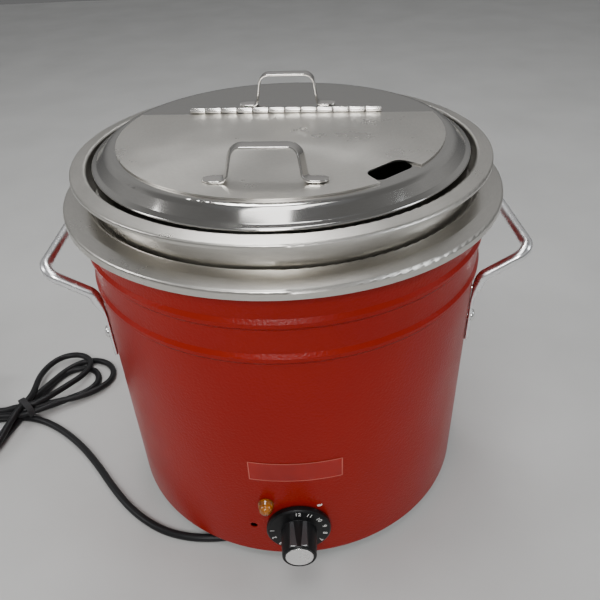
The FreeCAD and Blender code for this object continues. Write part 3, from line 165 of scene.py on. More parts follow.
class Finish:
    """A node-based finish under construction."""

    def __init__(self, name, colour, rough, metal=0.0):
        self.material = bpy.data.materials.new(name)
        self.material.use_nodes = True
        self.tree = self.material.node_tree
        self.shader = self.tree.nodes["Principled BSDF"]
        self.set(Base_Color=(*colour, 1), Roughness=rough, Metallic=metal)

    def set(self, **values):
        """Sets the shader's own sockets. An underscore stands for a space."""
        for name, value in values.items():
            self.shader.inputs[name.replace("_", " ")].default_value = value

    def add(self, kind, **values):
        """A new node. Lower-case names are its settings, and the others are its inputs."""
        made = self.tree.nodes.new(kind)
        for name, value in values.items():
            if name.islower():
                setattr(made, name, value)
            else:
                made.inputs[name.replace("_", " ")].default_value = value
        return made

    def sums(self, operation, first, second=None):
        """A Math node on one or two outputs or numbers."""
        made = self.add("ShaderNodeMath", operation=operation)
        for index, value in enumerate((first, second)):
            if isinstance(value, (int, float)):
                made.inputs[index].default_value = value
            elif value is not None:
                self.tree.links.new(value, made.inputs[index])
        return made.outputs[0]

    def place(self):
        """The piece's own coordinates, in metres."""
        return self.add("ShaderNodeTexCoord").outputs["Object"]

    def turned_place(self):
        """Coordinates that run round the drum's axis, so that grain follows a lathe."""
        split = self.add("ShaderNodeSeparateXYZ")
        self.tree.links.new(self.place(), split.inputs[0])
        x, y, z = split.outputs
        radius = self.sums("SQRT", self.sums("ADD", self.sums("MULTIPLY", x, x), self.sums("MULTIPLY", y, y)))
        angle = self.sums("MULTIPLY", self.sums("ARCTAN2", y, x), GRAIN_STRETCH)
        grain = self.add("ShaderNodeCombineXYZ")
        for index, value in enumerate((radius, angle, z)):
            self.tree.links.new(value, grain.inputs[index])
        return grain.outputs[0]

    def noise(self, place, scale, detail=3.0, rough=0.5):
        """Noise read at a place."""
        made = self.add("ShaderNodeTexNoise", Scale=scale, Detail=detail, Roughness=rough)
        self.tree.links.new(place, made.inputs["Vector"])
        return made.outputs["Fac"]

    def spread(self, value, low, high, start=0.3, finish=0.7):
        """Maps a value onto a range."""
        made = self.add("ShaderNodeMapRange", From_Min=start, From_Max=finish, To_Min=low, To_Max=high)
        self.tree.links.new(value, made.inputs["Value"])
        return made.outputs[0]

    def blend_colour(self, value, low, high, start=0.3, finish=0.7):
        """Colours the surface between two colours by a value."""
        ramp = self.add("ShaderNodeValToRGB")
        ramp.color_ramp.elements[0].position = start
        ramp.color_ramp.elements[0].color = (*low, 1)
        ramp.color_ramp.elements[1].position = finish
        ramp.color_ramp.elements[1].color = (*high, 1)
        self.tree.links.new(value, ramp.inputs[0])
        self.tree.links.new(ramp.outputs[0], self.shader.inputs["Base Color"])

    def roughness(self, value, low, high):
        """Varies the roughness between two limits by a value."""
        self.tree.links.new(self.spread(value, low, high), self.shader.inputs["Roughness"])

    def bump(self, value, strength, distance):
        """Raises the surface by a value."""
        made = self.add("ShaderNodeBump", Strength=strength, Distance=distance)
        self.tree.links.new(value, made.inputs["Height"])
        self.tree.links.new(made.outputs[0], self.shader.inputs["Normal"])


def hammered_paint():
    """Red enamel with a fine orange-peel grain and faint handling marks."""
    finish = Finish("red_enamel", (0.26, 0.008, 0.004), 0.3)
    finish.set(IOR=1.25)
    grain = finish.noise(finish.place(), 520, 2, 0.5)
    finish.bump(grain, 0.35, 0.0009)
    cloud = finish.noise(finish.place(), 7, 3)
    finish.blend_colour(cloud, (0.25, 0.007, 0.0035), (0.28, 0.01, 0.005))
    finish.roughness(finish.noise(finish.place(), 25, 2, 0.5), 0.28, 0.34)
    return finish.material


def turned_steel(name, colour, rough, grip=0.35, marks=0.02, contrast=0.04):
    """Stainless sheet with a fine grain that runs round the axis."""
    finish = Finish(name, colour, rough, 1.0)
    finish.set(Anisotropic=grip)
    tangent = finish.add("ShaderNodeTangent", direction_type="RADIAL", axis="Z")
    finish.tree.links.new(tangent.outputs[0], finish.shader.inputs["Tangent"])
    grain = finish.noise(finish.turned_place(), 700, 3, 0.6)
    finish.bump(grain, marks, 0.00015)
    smear = finish.noise(finish.place(), 22, 5, 0.65)
    finish.roughness(smear, rough * 0.85, rough * 1.2)
    low = tuple(c * (1 - contrast) for c in colour)
    high = tuple(min(1, c * (1 + contrast)) for c in colour)
    finish.blend_colour(grain, low, high)
    return finish.material


def plain_metal(name, colour, rough, scale=400, marks=0.03):
    """Metal with small uneven marks."""
    finish = Finish(name, colour, rough, 1.0)
    marks_value = finish.noise(finish.place(), scale, 4, 0.6)
    finish.bump(marks_value, marks, 0.0003)
    finish.roughness(finish.noise(finish.place(), 45, 5, 0.6), rough * 0.75, rough * 1.35)
    return finish.material


def moulded(name, colour, rough, scale=900, marks=0.12, coat=0.0):
    """Plastic or rubber with the fine texture of a mould."""
    finish = Finish(name, colour, rough)
    finish.set(Coat_Weight=coat, IOR=1.32)
    finish.bump(finish.noise(finish.place(), scale, 2, 0.5), marks, 0.0004)
    cloud = finish.noise(finish.place(), 30, 4)
    finish.blend_colour(cloud, tuple(c * 0.82 for c in colour), tuple(min(1, c * 1.15) for c in colour))
    finish.roughness(finish.noise(finish.place(), 70, 4), rough * 0.85, rough * 1.2)
    return finish.material


def woven(name, colour, scale):
    """Fibrous mat or braid."""
    finish = Finish(name, colour, 0.9)
    wave = finish.add("ShaderNodeTexWave", Scale=scale, Distortion=6.0, Detail=3.0)
    finish.tree.links.new(finish.place(), wave.inputs["Vector"])
    finish.bump(wave.outputs["Fac"], 0.5, 0.001)
    finish.blend_colour(finish.noise(finish.place(), 120, 5), tuple(c * 0.75 for c in colour), colour)
    return finish.material


def amber():
    """A clear amber lens with a prismatic front."""
    finish = Finish("amber_lens", (0.4, 0.13, 0.01), 0.14)
    finish.set(Transmission_Weight=0.2, Coat_Weight=0.4, Coat_Roughness=0.05)
    finish.bump(finish.noise(finish.place(), 500, 1), 0.15, 0.0008)
    finish.blend_colour(finish.noise(finish.place(), 150, 2), (0.16, 0.04, 0.003), (0.48, 0.16, 0.01))
    return finish.material


FINISHES = {
    "red_paint": hammered_paint(),
    "brushed_stainless": turned_steel("turned_stainless", (0.62, 0.6, 0.56), 0.3),
    "polished_lid": turned_steel("spun_lid", (0.46, 0.45, 0.43), 0.1, grip=0.05, marks=0.003, contrast=0.02),
    "bright_steel": plain_metal("bright_steel", (0.8, 0.79, 0.76), 0.18),
    "strap_steel": plain_metal("strap_steel", (0.66, 0.64, 0.61), 0.16),
    "hinge_bright": plain_metal("hinge_bright", (0.8, 0.78, 0.74), 0.22),
    "chrome_rod": plain_metal("bright_rod", (0.88, 0.88, 0.89), 0.26, marks=0.01),
    "rivet_steel": plain_metal("rivet_steel", (0.85, 0.85, 0.84), 0.12),
    "knob_black": moulded("knob_plastic", (0.005, 0.005, 0.0055), 0.36),
    "knob_strip": moulded("knob_strip", (0.05, 0.05, 0.052), 0.3, coat=0.3),
    "knob_silver": plain_metal("knob_disc", (0.9, 0.9, 0.89), 0.3, scale=900),
    "figure_white": moulded("figure_white", (0.78, 0.78, 0.76), 0.4, marks=0.02),
    "amber_lens": amber(),
    "label_red": moulded("label_red", (0.3, 0.009, 0.005), 0.22, marks=0.02, coat=0.15),
    "label_border": moulded("label_border", (0.5, 0.12, 0.09), 0.3, marks=0.02),
    "zinc_steel": plain_metal("zinc_steel", (0.6, 0.61, 0.62), 0.35, scale=90),
    "copper_tube": plain_metal("copper_tube", (0.8, 0.42, 0.28), 0.3),
    "brass_stud": plain_metal("brass_stud", (0.8, 0.6, 0.25), 0.3),
    "aluminium_plate": plain_metal("aluminium_plate", (0.75, 0.75, 0.76), 0.4, scale=200),
    "heater_steel": plain_metal("heater_steel", (0.25, 0.23, 0.21), 0.5),
    "switch_plastic": moulded("switch_plastic", (0.05, 0.05, 0.052), 0.45),
    "ceramic_white": moulded("ceramic", (0.82, 0.8, 0.75), 0.25, marks=0.04),
    "insulation": woven("glass_mat", (0.8, 0.77, 0.66), 60),
    "wire_insulation": moulded("wire_sleeve", (0.45, 0.3, 0.08), 0.5),
    "foot_rubber": moulded("foot_rubber", (0.02, 0.02, 0.02), 0.6),
    "cord_black": moulded("cord_rubber", (0.011, 0.011, 0.012), 0.4, scale=1400, marks=0.1),
    "cord_tie_black": woven("tie_braid", (0.03, 0.03, 0.032), 400),
    "plug_pin_metal": plain_metal("plug_pins", (0.8, 0.78, 0.72), 0.2),
}


def paint(piece, finish):
    """One finish for the whole piece."""
    piece.data.materials.clear()
    piece.data.materials.append(finish)


for part in frame["record"]["subparts"]:
    paint(frame["nodes"][part["node"]], FINISHES[part["material_slot"]])
# The pin shows only in the gaps between the knuckles: its dark steel is painted shade for those gaps.
paint(frame["nodes"]["hinge_pin"], FINISHES["heater_steel"])
paint(cord, FINISHES["cord_black"])

# ---------------------------------------------------------------- ways of making a piece
LID_TURN = math.radians(-5.6)
SHARP_ANGLE = 38


def mesh_piece(name, build, finish, body, nodes=(), smooth=SHARP_ANGLE):
    """A piece from mesh code: it rides on a body and stands for its CAD nodes."""
    model = bmesh.new()
    build(model)
    bmesh.ops.remove_doubles(model, verts=model.verts, dist=1e-5)
    bmesh.ops.recalc_face_normals(model, faces=model.faces)
    data = bpy.data.meshes.new(name)
    model.to_mesh(data)
    model.free()
    data.transform(Matrix.Scale(MM, 4))
    for face in data.polygons:
        face.use_smooth = True
    data.set_sharp_from_angle(angle=math.radians(smooth))
    piece = shown(name, data)
    for item in finish if isinstance(finish, list) else [finish]:
        data.materials.append(item)
    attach(piece, body)
    if nodes:
        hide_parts(*nodes)
    return piece


def bent(corners, steps=8):
    """Points along straight runs with a rounded bend at each corner whose last value, its radius, isn't 0."""
    spots = [Vector(corner[:-1]) for corner in corners]
    radii = [corner[-1] for corner in corners]
    points = []
    for index, spot in enumerate(spots):
        if not radii[index]:
            points.append(spot)
            continue
        back = (spots[index - 1] - spot).normalized()
        on = (spots[index + 1] - spot).normalized()
        half = back.angle(on) / 2
        reach = radii[index] / math.tan(half)
        centre = spot + (back + on).normalized() * (radii[index] / math.sin(half))
        first = spot + back * reach - centre
        last = spot + on * reach - centre
        turn = first.angle(last)
        for step in range(steps + 1):
            share = step / steps
            leaving_arm = first * math.sin((1 - share) * turn)
            coming_arm = last * math.sin(share * turn)
            points.append(centre + (leaving_arm + coming_arm) / math.sin(turn))
    return points


def spaced(points, gap):
    """The same line with extra points, so that no step is longer than the gap."""
    filled = [points[0]]
    for point in points[1:]:
        start = filled[-1]
        count = max(1, math.ceil((point - start).length / gap))
        filled += [start.lerp(point, step / count) for step in range(1, count + 1)]
    return filled


def rings_to_tube(model, rings):
    """Joins rings of points into a closed skin."""
    rows = [[model.verts.new(point) for point in ring] for ring in rings]
    for first, second in zip(rows, rows[1:]):
        count = len(first)
        for index in range(count):
            after = (index + 1) % count
            model.faces.new((first[index], first[after], second[after], second[index]))
    model.faces.new(rows[0])
    model.faces.new(rows[-1])


def squircle(wide, thick, power, count=24):
    """A closed outline between an ellipse and a rectangle."""
    ring = []
    for index in range(count):
        angle = 2 * math.pi * index / count
        c, s = math.cos(angle), math.sin(angle)
        ring.append((
            wide * math.copysign(abs(c) ** (2 / power), c),
            thick * math.copysign(abs(s) ** (2 / power), s),
        ))
    return ring


def swept(model, points, side, section):
    """Sweeps a changing section along a line. The side vector is carried along without twist."""
    rings = []
    side = Vector(side).normalized()
    for index, point in enumerate(points):
        before = points[max(index - 1, 0)]
        after = points[min(index + 1, len(points) - 1)]
        tangent = (after - before).normalized()
        side = (side - tangent * side.dot(tangent)).normalized()
        normal = tangent.cross(side)
        rings.append([point + side * a + normal * b for a, b in section(index, point)])
    rings_to_tube(model, rings)


def spun(model, profile, start, heading, count=48):
    """Turns a profile of distance along and radius about a line."""
    heading = Vector(heading).normalized()
    side = heading.orthogonal().normalized()
    other = heading.cross(side)
    angles = [2 * math.pi * k / count for k in range(count)]
    rings = []
    for along, radius in profile:
        middle = Vector(start) + heading * along
        rings.append([middle + (side * math.cos(t) + other * math.sin(t)) * radius for t in angles])
    rings_to_tube(model, rings)


def softened(profile, radius=0.6, steps=4):
    """A turned profile with its inner corners rounded."""
    corners = [(*profile[0], 0)]
    corners += [(*point, radius) for point in profile[1:-1]]
    corners.append((*profile[-1], 0))
    return [tuple(point) for point in bent(corners, steps)]


def rounded_end(share):
    """How wide a half-round end is at a share of its length, against its full width."""
    return math.sqrt(1 - (1 - share) ** 2)


def lid_place(point):
    """A place in the lid's own frame, turned with the lid."""
    return Matrix.Rotation(LID_TURN, 3, "Z") @ Vector(point)


def round_the_drum(angle, radius, height):
    """A place at an angle round the drum, counted from its front."""
    return Vector((radius * math.sin(angle), -radius * math.cos(angle), height))


# ---------------------------------------------------------------- strap handles
STRAP_WIDTH = 12
STRAP_GAUGE = 1.6
STRAP_SPAN = 53
STRAP_GRIP = 45
STRAP_FOOT = 14
STRAP_ROOT_BEND = 4
STRAP_GRIP_BEND = 8.2
STRAP_SQUARENESS = 5
STRAP_STEP = 1.0


def strap_handle(name, forward, base, rise, lean, body, node):
    """A bent strap: rounded feet, swept bends up into the arch."""
    half = STRAP_GAUGE / 2
    end = STRAP_SPAN / 2 + STRAP_FOOT
    root = STRAP_SPAN / 2 - half
    grip = STRAP_GRIP / 2 - half
    line = bent([
        (-end, half, 0), (-root, half, STRAP_ROOT_BEND), (-grip, rise - half, STRAP_GRIP_BEND),
        (grip, rise - half, STRAP_GRIP_BEND), (root, half, STRAP_ROOT_BEND), (end, half, 0),
    ], 10)
    line = spaced([Vector((point.x, point.y)) for point in line], STRAP_STEP)
    tilt = math.radians(lean)
    places = []
    for sideways, up in line:
        raised = up - half
        back = forward + raised * math.sin(tilt)
        places.append(lid_place((sideways, back, base + half + raised * math.cos(tilt))))

    def section(index, point):
        on_foot = line[index].y < 3
        from_end = end - abs(line[index].x) if on_foot else STRAP_WIDTH
        full = STRAP_WIDTH / 2 - 0.05
        share = max(0.12, min(1.0, from_end / full))
        return squircle(full * rounded_end(share), half, STRAP_SQUARENESS)

    def build(model):
        swept(model, places, lid_place((0, 1, 0)), section)

    return mesh_piece(name, build, FINISHES["strap_steel"], body, (node,))


LID_TOP = 323.3
FLAP_TOP = LID_TOP + 1.3
strap_handle("handle_on_flap", -97, FLAP_TOP, 22.5, 18, "flap", "flap_handle")
strap_handle("handle_on_lid", 62.5, LID_TOP, 26.5, 0, "lid", "lid_handle")

# ---------------------------------------------------------------- piano hinge
HINGE_LENGTH = 157
KNUCKLES = 12
KNUCKLE_PITCH = HINGE_LENGTH / KNUCKLES
KNUCKLE_RADIUS = 2.4
KNUCKLE_BORE = 1.3
KNUCKLE_GAP = 0.35
LEAF_GAUGE = 0.55
HINGE_AXIS = (38, LID_TOP + 2.9)
BOX_FACES = ((0, 1, 2, 3), (4, 5, 6, 7), (0, 1, 5, 4), (1, 2, 6, 5), (2, 3, 7, 6), (3, 0, 4, 7))


def hinge_leaf(name, first, plate_low, plate_from, plate_to, body, node):
    """Half of the hinge: a thin plate and every second knuckle, each with rounded ends."""

    def build(model):
        long = KNUCKLE_PITCH - 2 * KNUCKLE_GAP
        shape = softened([
            (0, KNUCKLE_BORE), (0, KNUCKLE_RADIUS), (long, KNUCKLE_RADIUS), (long, KNUCKLE_BORE)
        ], 0.5)
        for index in range(first, KNUCKLES, 2):
            start = -HINGE_LENGTH / 2 + index * KNUCKLE_PITCH + KNUCKLE_GAP
            spun(model, shape, lid_place((start, *HINGE_AXIS)), lid_place((1, 0, 0)), 28)
        left, right = -HINGE_LENGTH / 2, HINGE_LENGTH / 2
        outline = ((left, plate_from), (right, plate_from), (right, plate_to), (left, plate_to))
        plate = [
            model.verts.new(lid_place((x, y, plate_low + z)))
            for z in (0.02, LEAF_GAUGE) for x, y in outline
        ]
        for face in BOX_FACES:
            model.faces.new([plate[corner] for corner in face])

    return mesh_piece(name, build, FINISHES["hinge_bright"], body, (node,), 50)


hinge_leaf("hinge_half_lid", 0, LID_TOP, 38.4, 41.2, "lid", "hinge_leaf_fixed")
hinge_leaf("hinge_half_flap", 1, FLAP_TOP, 36.6, 37.8, "flap", "hinge_leaf_moving")

# ---------------------------------------------------------------- side handles
SHELL = 158
ROD = 4.5
TAB_LOW = 155
TAB_TOP = 214
TAB_HALF_WIDTH = 6.5
TAB_HALF_GAUGE = 1.5
SPREAD = 54
REACH = 189.5
GRIP_HEIGHT = 240
TAB_ANGLE = math.acos(SPREAD / SHELL)


def tab_angle(side, toward):
    """Where one end of a side handle meets the drum: to the front for -1 and to the rear for 1."""
    return side * (TAB_ANGLE if toward < 0 else math.pi - TAB_ANGLE)


def side_handle(name, side, node):
    """A bright rod whose two ends are hammered flat against the drum."""

    def section(index, point):
        flat = max(0.0, min(1.0, (TAB_TOP - 2 - point.z) / 16))
        flat = flat * flat * (3 - 2 * flat)
        wide = ROD + (TAB_HALF_WIDTH - ROD) * flat
        thick = ROD + (TAB_HALF_GAUGE - ROD) * flat
        end = min(1.0, (point.z - TAB_LOW) / 5 + 0.25)
        return squircle(wide * rounded_end(end), thick, 2 + 2.5 * flat, 28)

    def half(model, toward):
        angle = tab_angle(side, toward)
        foot = round_the_drum(angle, SHELL + 1.6, TAB_LOW)
        root = round_the_drum(angle, SHELL + 1.6, TAB_TOP - 16)
        neck = round_the_drum(angle, SHELL + ROD + 0.7, TAB_TOP - 3)
        shoulder = round_the_drum(angle, SHELL + ROD + 2.2, TAB_TOP + 3.5)
        corner = Vector((side * REACH, neck.y * 1.02, GRIP_HEIGHT))
        middle = Vector((side * REACH, 0, GRIP_HEIGHT))
        line = bent([
            (*foot, 0), (*root, 30), (*neck, 14), (*shoulder, 9), (*corner, 13), (*middle, 0)
        ], 10)
        beside = Vector((math.cos(angle), math.sin(angle), 0))
        swept(model, spaced(line, 2), beside, section)

    def build(model):
        half(model, -1)
        half(model, 1)

    return mesh_piece(name, build, FINISHES["chrome_rod"], "housing", (node,), 60)


side_handle("rod_handle_left", -1, "side_handle_left")
side_handle("rod_handle_right", 1, "side_handle_right")

RIVET_HEIGHTS = (178, 205.5)
RIVET_HEAD = 5.2
RIVET_SHANK = 2.4


def rivets(name, side, node):
    """Four domed rivets with a low rim."""
    head = [(0, RIVET_HEAD), (0.5, RIVET_HEAD)]
    head += [(0.5 + 2.3 * math.sin(t), 5.1 * math.cos(t)) for t in (0.35, 0.7, 1.0, 1.25, 1.45)]
    head.append((2.8, 0.05))
    shank = [(-9, RIVET_HEAD), (-8.2, RIVET_HEAD), (-8, RIVET_SHANK), (0, RIVET_SHANK)]

    def build(model):
        for toward in (-1, 1):
            angle = tab_angle(side, toward)
            outward = round_the_drum(angle, 1, 0)
            for height in RIVET_HEIGHTS:
                seat = round_the_drum(angle, SHELL + 3.1, height)
                spun(model, head, seat, outward, 32)
                spun(model, shank, seat, outward, 24)

    return mesh_piece(name, build, FINISHES["rivet_steel"], "housing", (node,), 40)


rivets("rivets_left", -1, "handle_rivets_left")
rivets("rivets_right", 1, "handle_rivets_right")

# ---------------------------------------------------------------- control knob
FRONT = (0, -1, 0)
DIAL_BACK = -159.2
DIAL_RADIUS = 26
DIAL_DEPTH = 5
GRIP_ROOT = 14.6
GRIP_TIP = 13.5
GRIP_END = 28
CAP_DEPTH = 26.9
CAP_RADIUS = 11.1
KNOB_HEIGHT = 50


def knob(model):
    """Dial skirt with a bevelled edge and a long grip, hollowed at its end for the cap."""
    spun(model, softened([
        (0, 3.1), (0, DIAL_RADIUS), (3.8, DIAL_RADIUS), (DIAL_DEPTH, DIAL_RADIUS - 1.4),
        (DIAL_DEPTH, GRIP_ROOT), (GRIP_END - 1, GRIP_TIP), (GRIP_END, 12.6), (27.6, CAP_RADIUS),
        (CAP_DEPTH, CAP_RADIUS), (CAP_DEPTH, 0.1),
    ], 0.5), (0, DIAL_BACK, KNOB_HEIGHT), FRONT, 96)


mesh_piece("knob_moulding", knob, FINISHES["knob_black"], "knob", ("control_knob",), 35)

STRIP_HALF = 7.2
STRIP_FACE = 6.6
STRIP_EASE = 0.5


def knob_flat(model):
    """The flat strip along the top of the grip, eased at both ends."""
    rings = []
    for along, inset in ((5.2, STRIP_EASE), (5.8, 0), (26.2, 0), (26.8, STRIP_EASE)):
        y = DIAL_BACK - along
        high = KNOB_HEIGHT + 14.1 - (along - DIAL_DEPTH) * 0.03 - inset
        outline = (
            (inset - STRIP_FACE, high), (STRIP_FACE - inset, high), (STRIP_HALF, high - 1.2),
            (STRIP_HALF, high - 4), (-STRIP_HALF, high - 4), (-STRIP_HALF, high - 1.2),
        )
        rings.append([Vector((x, y, z)) for x, z in outline])
    rings_to_tube(model, rings)


mesh_piece("knob_strip", knob_flat, FINISHES["knob_strip"], "knob", smooth=30)


def cap(model):
    """The bright disc, slightly dished with a rolled edge."""
    spun(model, softened([(0, 0.1), (0, 10.9), (1.1, 10.9), (1.0, 9.9), (0.8, 0.1)], 0.25),
         (0, DIAL_BACK - CAP_DEPTH - 0.05, KNOB_HEIGHT), FRONT, 72)


mesh_piece("knob_disc", cap, FINISHES["knob_silver"], "knob", ("knob_cap",), 35)

FIGURES = 12
FIGURE_PITCH = 25
FIGURE_SIZE = 5.2
FIGURE_RING = 21.4


def dial_numbers():
    """The dial's figures, 1 to 12, raised a little on its face."""
    model = bmesh.new()
    for figure in range(1, FIGURES + 1):
        text = bpy.data.curves.new("figure", "FONT")
        text.body = str(figure)
        text.size = FIGURE_SIZE
        text.align_x = "CENTER"
        text.align_y = "CENTER"
        text.extrude = 0.08
        holder = bpy.data.objects.new("figure", text)
        flat = bpy.data.meshes.new_from_object(holder)
        swing = math.radians(FIGURE_PITCH * (FIGURES - figure))
        turn = Matrix.Rotation(swing, 4, "Y") @ Matrix.Rotation(math.pi / 2, 4, "X")
        sideways = FIGURE_RING * math.sin(swing)
        height = KNOB_HEIGHT + FIGURE_RING * math.cos(swing)
        spot = Vector((sideways, DIAL_BACK - DIAL_DEPTH - 0.1, height))
        flat.transform(Matrix.Translation(spot) @ turn)
        model.from_mesh(flat)
        bpy.data.objects.remove(holder)
        bpy.data.meshes.remove(flat)
    data = bpy.data.meshes.new("dial_figures")
    model.to_mesh(data)
    model.free()
    data.transform(Matrix.Scale(MM, 4))
    data.materials.clear()
    data.materials.append(FINISHES["figure_white"])
    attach(shown("dial_figures", data), "knob")


dial_numbers()

MARK_OUTLINE = (
    (15.4, 73.2), (16.2, 71.4), (18.6, 71.6), (19.8, 73.0), (19.2, 74.4), (18.0, 73.3), (17.2, 74.2)
)


def on_drum(x, z, lift):
    """A place in front of the drum's skin, by its sideways place and height."""
    return Vector((x, -math.sqrt((SHELL + lift) ** 2 - x * x), z))


def pointer(model):
    """A small white mark beside the dial, curved with the drum."""
    rings_to_tube(model, [[on_drum(x, z, lift) for x, z in MARK_OUTLINE] for lift in (0.05, 0.25)])


mesh_piece("white_mark_by_dial", pointer, FINISHES["figure_white"], "housing", smooth=30)

# ---------------------------------------------------------------- pilot lamp
LAMP_SIDEWAYS = -25
LAMP_HEIGHT = 77.5
LAMP_SEAT = -math.sqrt(SHELL ** 2 - LAMP_SIDEWAYS ** 2) - 1.2
LAMP_RIBS = 4
LAMP_RIB_PITCH = 0.8
LAMP_DOME = 5.5


def lens(model):
    """A ribbed amber lens with a low flange."""
    profile = [(-7.4, 3.6), (0, 3.6), (0, 6.2), (1.0, 6.2), (1.2, LAMP_DOME)]
    for rib in range(LAMP_RIBS):
        start = 1.5 + rib * LAMP_RIB_PITCH
        profile += [(start, LAMP_DOME + 0.25), (start + 0.4, LAMP_DOME - 0.1)]
    for t in (0.1, 0.35, 0.6, 0.85, 1.1, 1.35, 1.5):
        profile.append((4.6 + 5.3 * math.sin(t), LAMP_DOME * math.cos(t)))
    profile.append((9.9, 0.05))
    spun(model, profile, (LAMP_SIDEWAYS, LAMP_SEAT, LAMP_HEIGHT), FRONT, 40)


mesh_piece("lamp_dome", lens, FINISHES["amber_lens"], "housing", ("pilot_lamp_lens",), 28)

# ---------------------------------------------------------------- plain label
LABEL_HALF = 36
LABEL_LOW = 105
LABEL_HIGH = 125
LABEL_BORDER = 0.7
LABEL_LIFT = 0.4


def label(model):
    """A thin curved plate with a narrow pale border."""
    inner = LABEL_HALF - LABEL_BORDER
    middle = [2 * inner * step / 20 - inner for step in range(1, 20)]
    columns = [-LABEL_HALF, -inner, *middle, inner, LABEL_HALF]
    rows = [LABEL_LOW, LABEL_LOW + LABEL_BORDER, 110, 115, 120, LABEL_HIGH - LABEL_BORDER, LABEL_HIGH]
    grid = [[model.verts.new(on_drum(x, z, LABEL_LIFT)) for x in columns] for z in rows]
    for row in range(len(rows) - 1):
        low, high = grid[row], grid[row + 1]
        for column in range(len(columns) - 1):
            face = model.faces.new((low[column], low[column + 1], high[column + 1], high[column]))
            edge = row in (0, len(rows) - 2) or column in (0, len(columns) - 2)
            face.material_index = 1 if edge else 0


label_finishes = [FINISHES["label_red"], FINISHES["label_border"]]
mesh_piece("plain_label", label, label_finishes, "housing", ("front_label",))

# ---------------------------------------------------------------- strain relief, tie and plug
RELIEF_LENGTH = 30
RELIEF_RIBS = 8
RELIEF_RIB_PITCH = 3.1
RELIEF_WAY = Vector((-0.5, -0.866, 0)).normalized()
RELIEF_START = Vector(EXIT) - RELIEF_WAY * RELIEF_LENGTH


def relief(model):
    """A tapered sleeve with moulded ribs and a collar on each side of the wall."""
    profile = [(-6, 3.6), (-6, 8), (-3.6, 8), (-3.6, 6), (0, 6), (0, 8), (3, 8), (3, 6.1)]
    for rib in range(RELIEF_RIBS):
        base = 3.6 + rib * RELIEF_RIB_PITCH
        width = 6.1 - 1.6 * rib / RELIEF_RIBS
        profile += [(base, width), (base + 1.9, width - 0.1)]
        profile += [(base + 2.1, width - 1.0), (base + 2.9, width - 1.1)]
    profile += [(RELIEF_LENGTH - 1, 4.4), (RELIEF_LENGTH, 4.2), (RELIEF_LENGTH, 3.4)]
    spun(model, profile, RELIEF_START, RELIEF_WAY, 36)


relief_piece = mesh_piece(
    "cord_sleeve", relief, FINISHES["cord_black"], "housing", ("strain_relief",), 35
)

BAND_HALF = 11.9
BAND_TOP = 20.5
BAND_SIDE_FOOT = 8.4
BAND_FOOT = 0.6
BAND_BEND = 5


def tie_band(model):
    """A flat braided band bent over the strands. The lead passes under its shorter side."""
    along = Vector((math.cos(TIE_AXIS), math.sin(TIE_AXIS), 0))
    beside = Vector((-math.sin(TIE_AXIS), math.cos(TIE_AXIS), 0))
    line = bent([
        (-BAND_HALF, BAND_SIDE_FOOT, 0), (-BAND_HALF, BAND_TOP, BAND_BEND),
        (BAND_HALF, BAND_TOP, BAND_BEND), (BAND_HALF, BAND_FOOT, 0),
    ], 8)
    places = [TIE + beside * point.x + Vector((0, 0, point.y)) for point in spaced(line, 1.5)]
    swept(model, places, along, lambda index, point: squircle(3.4, 0.5, 5, 20))


tie_piece = mesh_piece(
    "cord_band", tie_band, FINISHES["cord_tie_black"], "housing", ("cord_tie",), 40
)

PLUG_WAY = Vector((-0.62, 0.785, 0)).normalized()
PLUG_START = Vector(TAIL[-1])
PLUG_RIBS = 4
PLUG_RADIUS = 17.9
PLUG_LENGTH = 44


def plug(model):
    """A moulded plug: ribbed neck, flared grip and a round face."""
    profile = [(0, 3.4), (0, 4.6)]
    for rib in range(PLUG_RIBS):
        start = 1 + rib * 3
        profile += [(start, 4.9 + rib * 0.55), (start + 1.6, 5.1 + rib * 0.55)]
        profile.append((start + 1.8, 4.3 + rib * 0.5))
    profile += [(14, 7.2), (19, 9), (24, 11.4), (27, 14.8), (30, PLUG_RADIUS - 0.3), (31, PLUG_RADIUS)]
    profile += [(PLUG_LENGTH - 1.5, PLUG_RADIUS), (PLUG_LENGTH - 0.4, 17.2)]
    profile += [(PLUG_LENGTH, 16), (PLUG_LENGTH, 0.1)]
    spun(model, profile, PLUG_START, PLUG_WAY, 64)


plug_piece = mesh_piece(
    "plug_moulding", plug, FINISHES["cord_black"], "housing", ("plug_body",), 35
)

# ---------------------------------------------------------------- floor, light and surroundings
# The studio's own sizes are in metres.
FLOOR_HALF = 3
ground = bpy.data.meshes.new("floor")
corners = [(-FLOOR_HALF, -FLOOR_HALF, 0), (FLOOR_HALF, -FLOOR_HALF, 0)]
corners += [(FLOOR_HALF, FLOOR_HALF, 0), (-FLOOR_HALF, FLOOR_HALF, 0)]
ground.from_pydata(corners, [], [(0, 1, 2, 3)])
floor = shown("floor", ground)
floor_finish = Finish("pale_floor", (0.5, 0.5, 0.49), 0.55)
clouds = floor_finish.noise(floor_finish.place(), 6, 6)
floor_finish.blend_colour(clouds, (0.46, 0.46, 0.45), (0.52, 0.52, 0.51))
paint(floor, floor_finish.material)


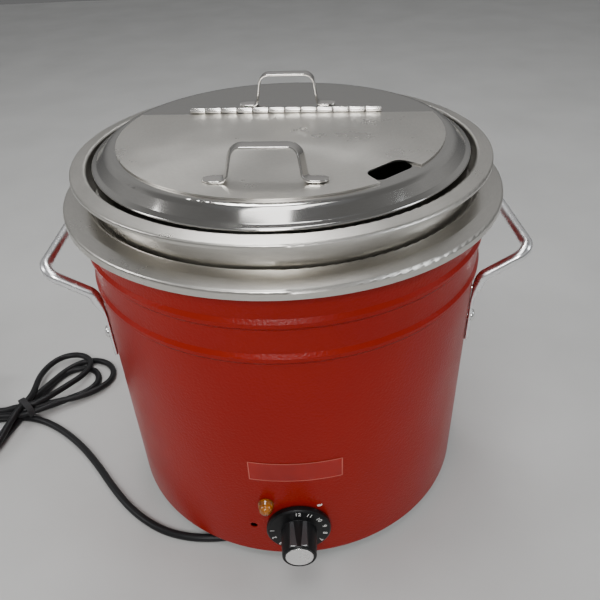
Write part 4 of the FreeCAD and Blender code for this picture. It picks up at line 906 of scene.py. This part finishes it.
def lamp(name, spot, aim, wide, tall, power, tint=(1, 1, 1)):
    """A soft rectangular studio light."""
    light = bpy.data.lights.new(name, "AREA")
    light.shape = "RECTANGLE"
    light.size = wide
    light.size_y = tall
    light.energy = power
    light.color = tint
    piece = shown(name, light)
    piece.location = spot
    piece.rotation_euler = (Vector(aim) - Vector(spot)).to_track_quat("-Z", "Y").to_euler()
    return piece


lamp("light_overhead", (-0.05, -0.2, 1.6), (0, -0.05, 0.2), 0.5, 1.0, 8)
lamp("light_high_back", (-0.15, 0.95, 1.75), (0, 0, 0.3), 0.45, 0.4, 9)
lamp("light_front", (-0.12, -1.25, 1.15), (0, 0, 0.25), 0.4, 0.45, 13)
lamp("light_left", (-1.5, -0.2, 1.0), (0, 0, 0.2), 0.35, 0.8, 6)
lamp("light_right", (1.5, -0.3, 1.1), (0, 0, 0.2), 0.3, 0.8, 5, (0.9, 0.95, 1))

# How light the surroundings are, from straight down at 0 to straight up at 1.
BELOW = (0.12, 0.12, 0.12, 1)
ZENITH = (0.3, 0.31, 0.33, 1)
GREYS = ((0.48, 0.14), (0.56, 0.22), (0.7, 0.42), (0.78, 0.42), (0.85, 0.24), (0.94, 0.2))
world = bpy.data.worlds.new("surroundings")
bpy.context.scene.world = world
world.use_nodes = True
sky = world.node_tree
direction = sky.nodes.new("ShaderNodeTexCoord")
split = sky.nodes.new("ShaderNodeSeparateXYZ")
sky.links.new(direction.outputs["Generated"], split.inputs[0])
height_ramp = sky.nodes.new("ShaderNodeValToRGB")
ramp_ends = height_ramp.color_ramp.elements
ramp_ends[0].color = BELOW
ramp_ends[1].color = ZENITH
for position, grey in GREYS:
    ramp_ends.new(position).color = (grey, grey, grey, 1)
lift = sky.nodes.new("ShaderNodeMapRange")
lift.inputs["From Min"].default_value = -1
lift.inputs["From Max"].default_value = 1
sky.links.new(split.outputs["Z"], lift.inputs["Value"])
sky.links.new(lift.outputs[0], height_ramp.inputs[0])
sky.links.new(height_ramp.outputs[0], sky.nodes["Background"].inputs["Color"])

bpy.context.view_layer.update()
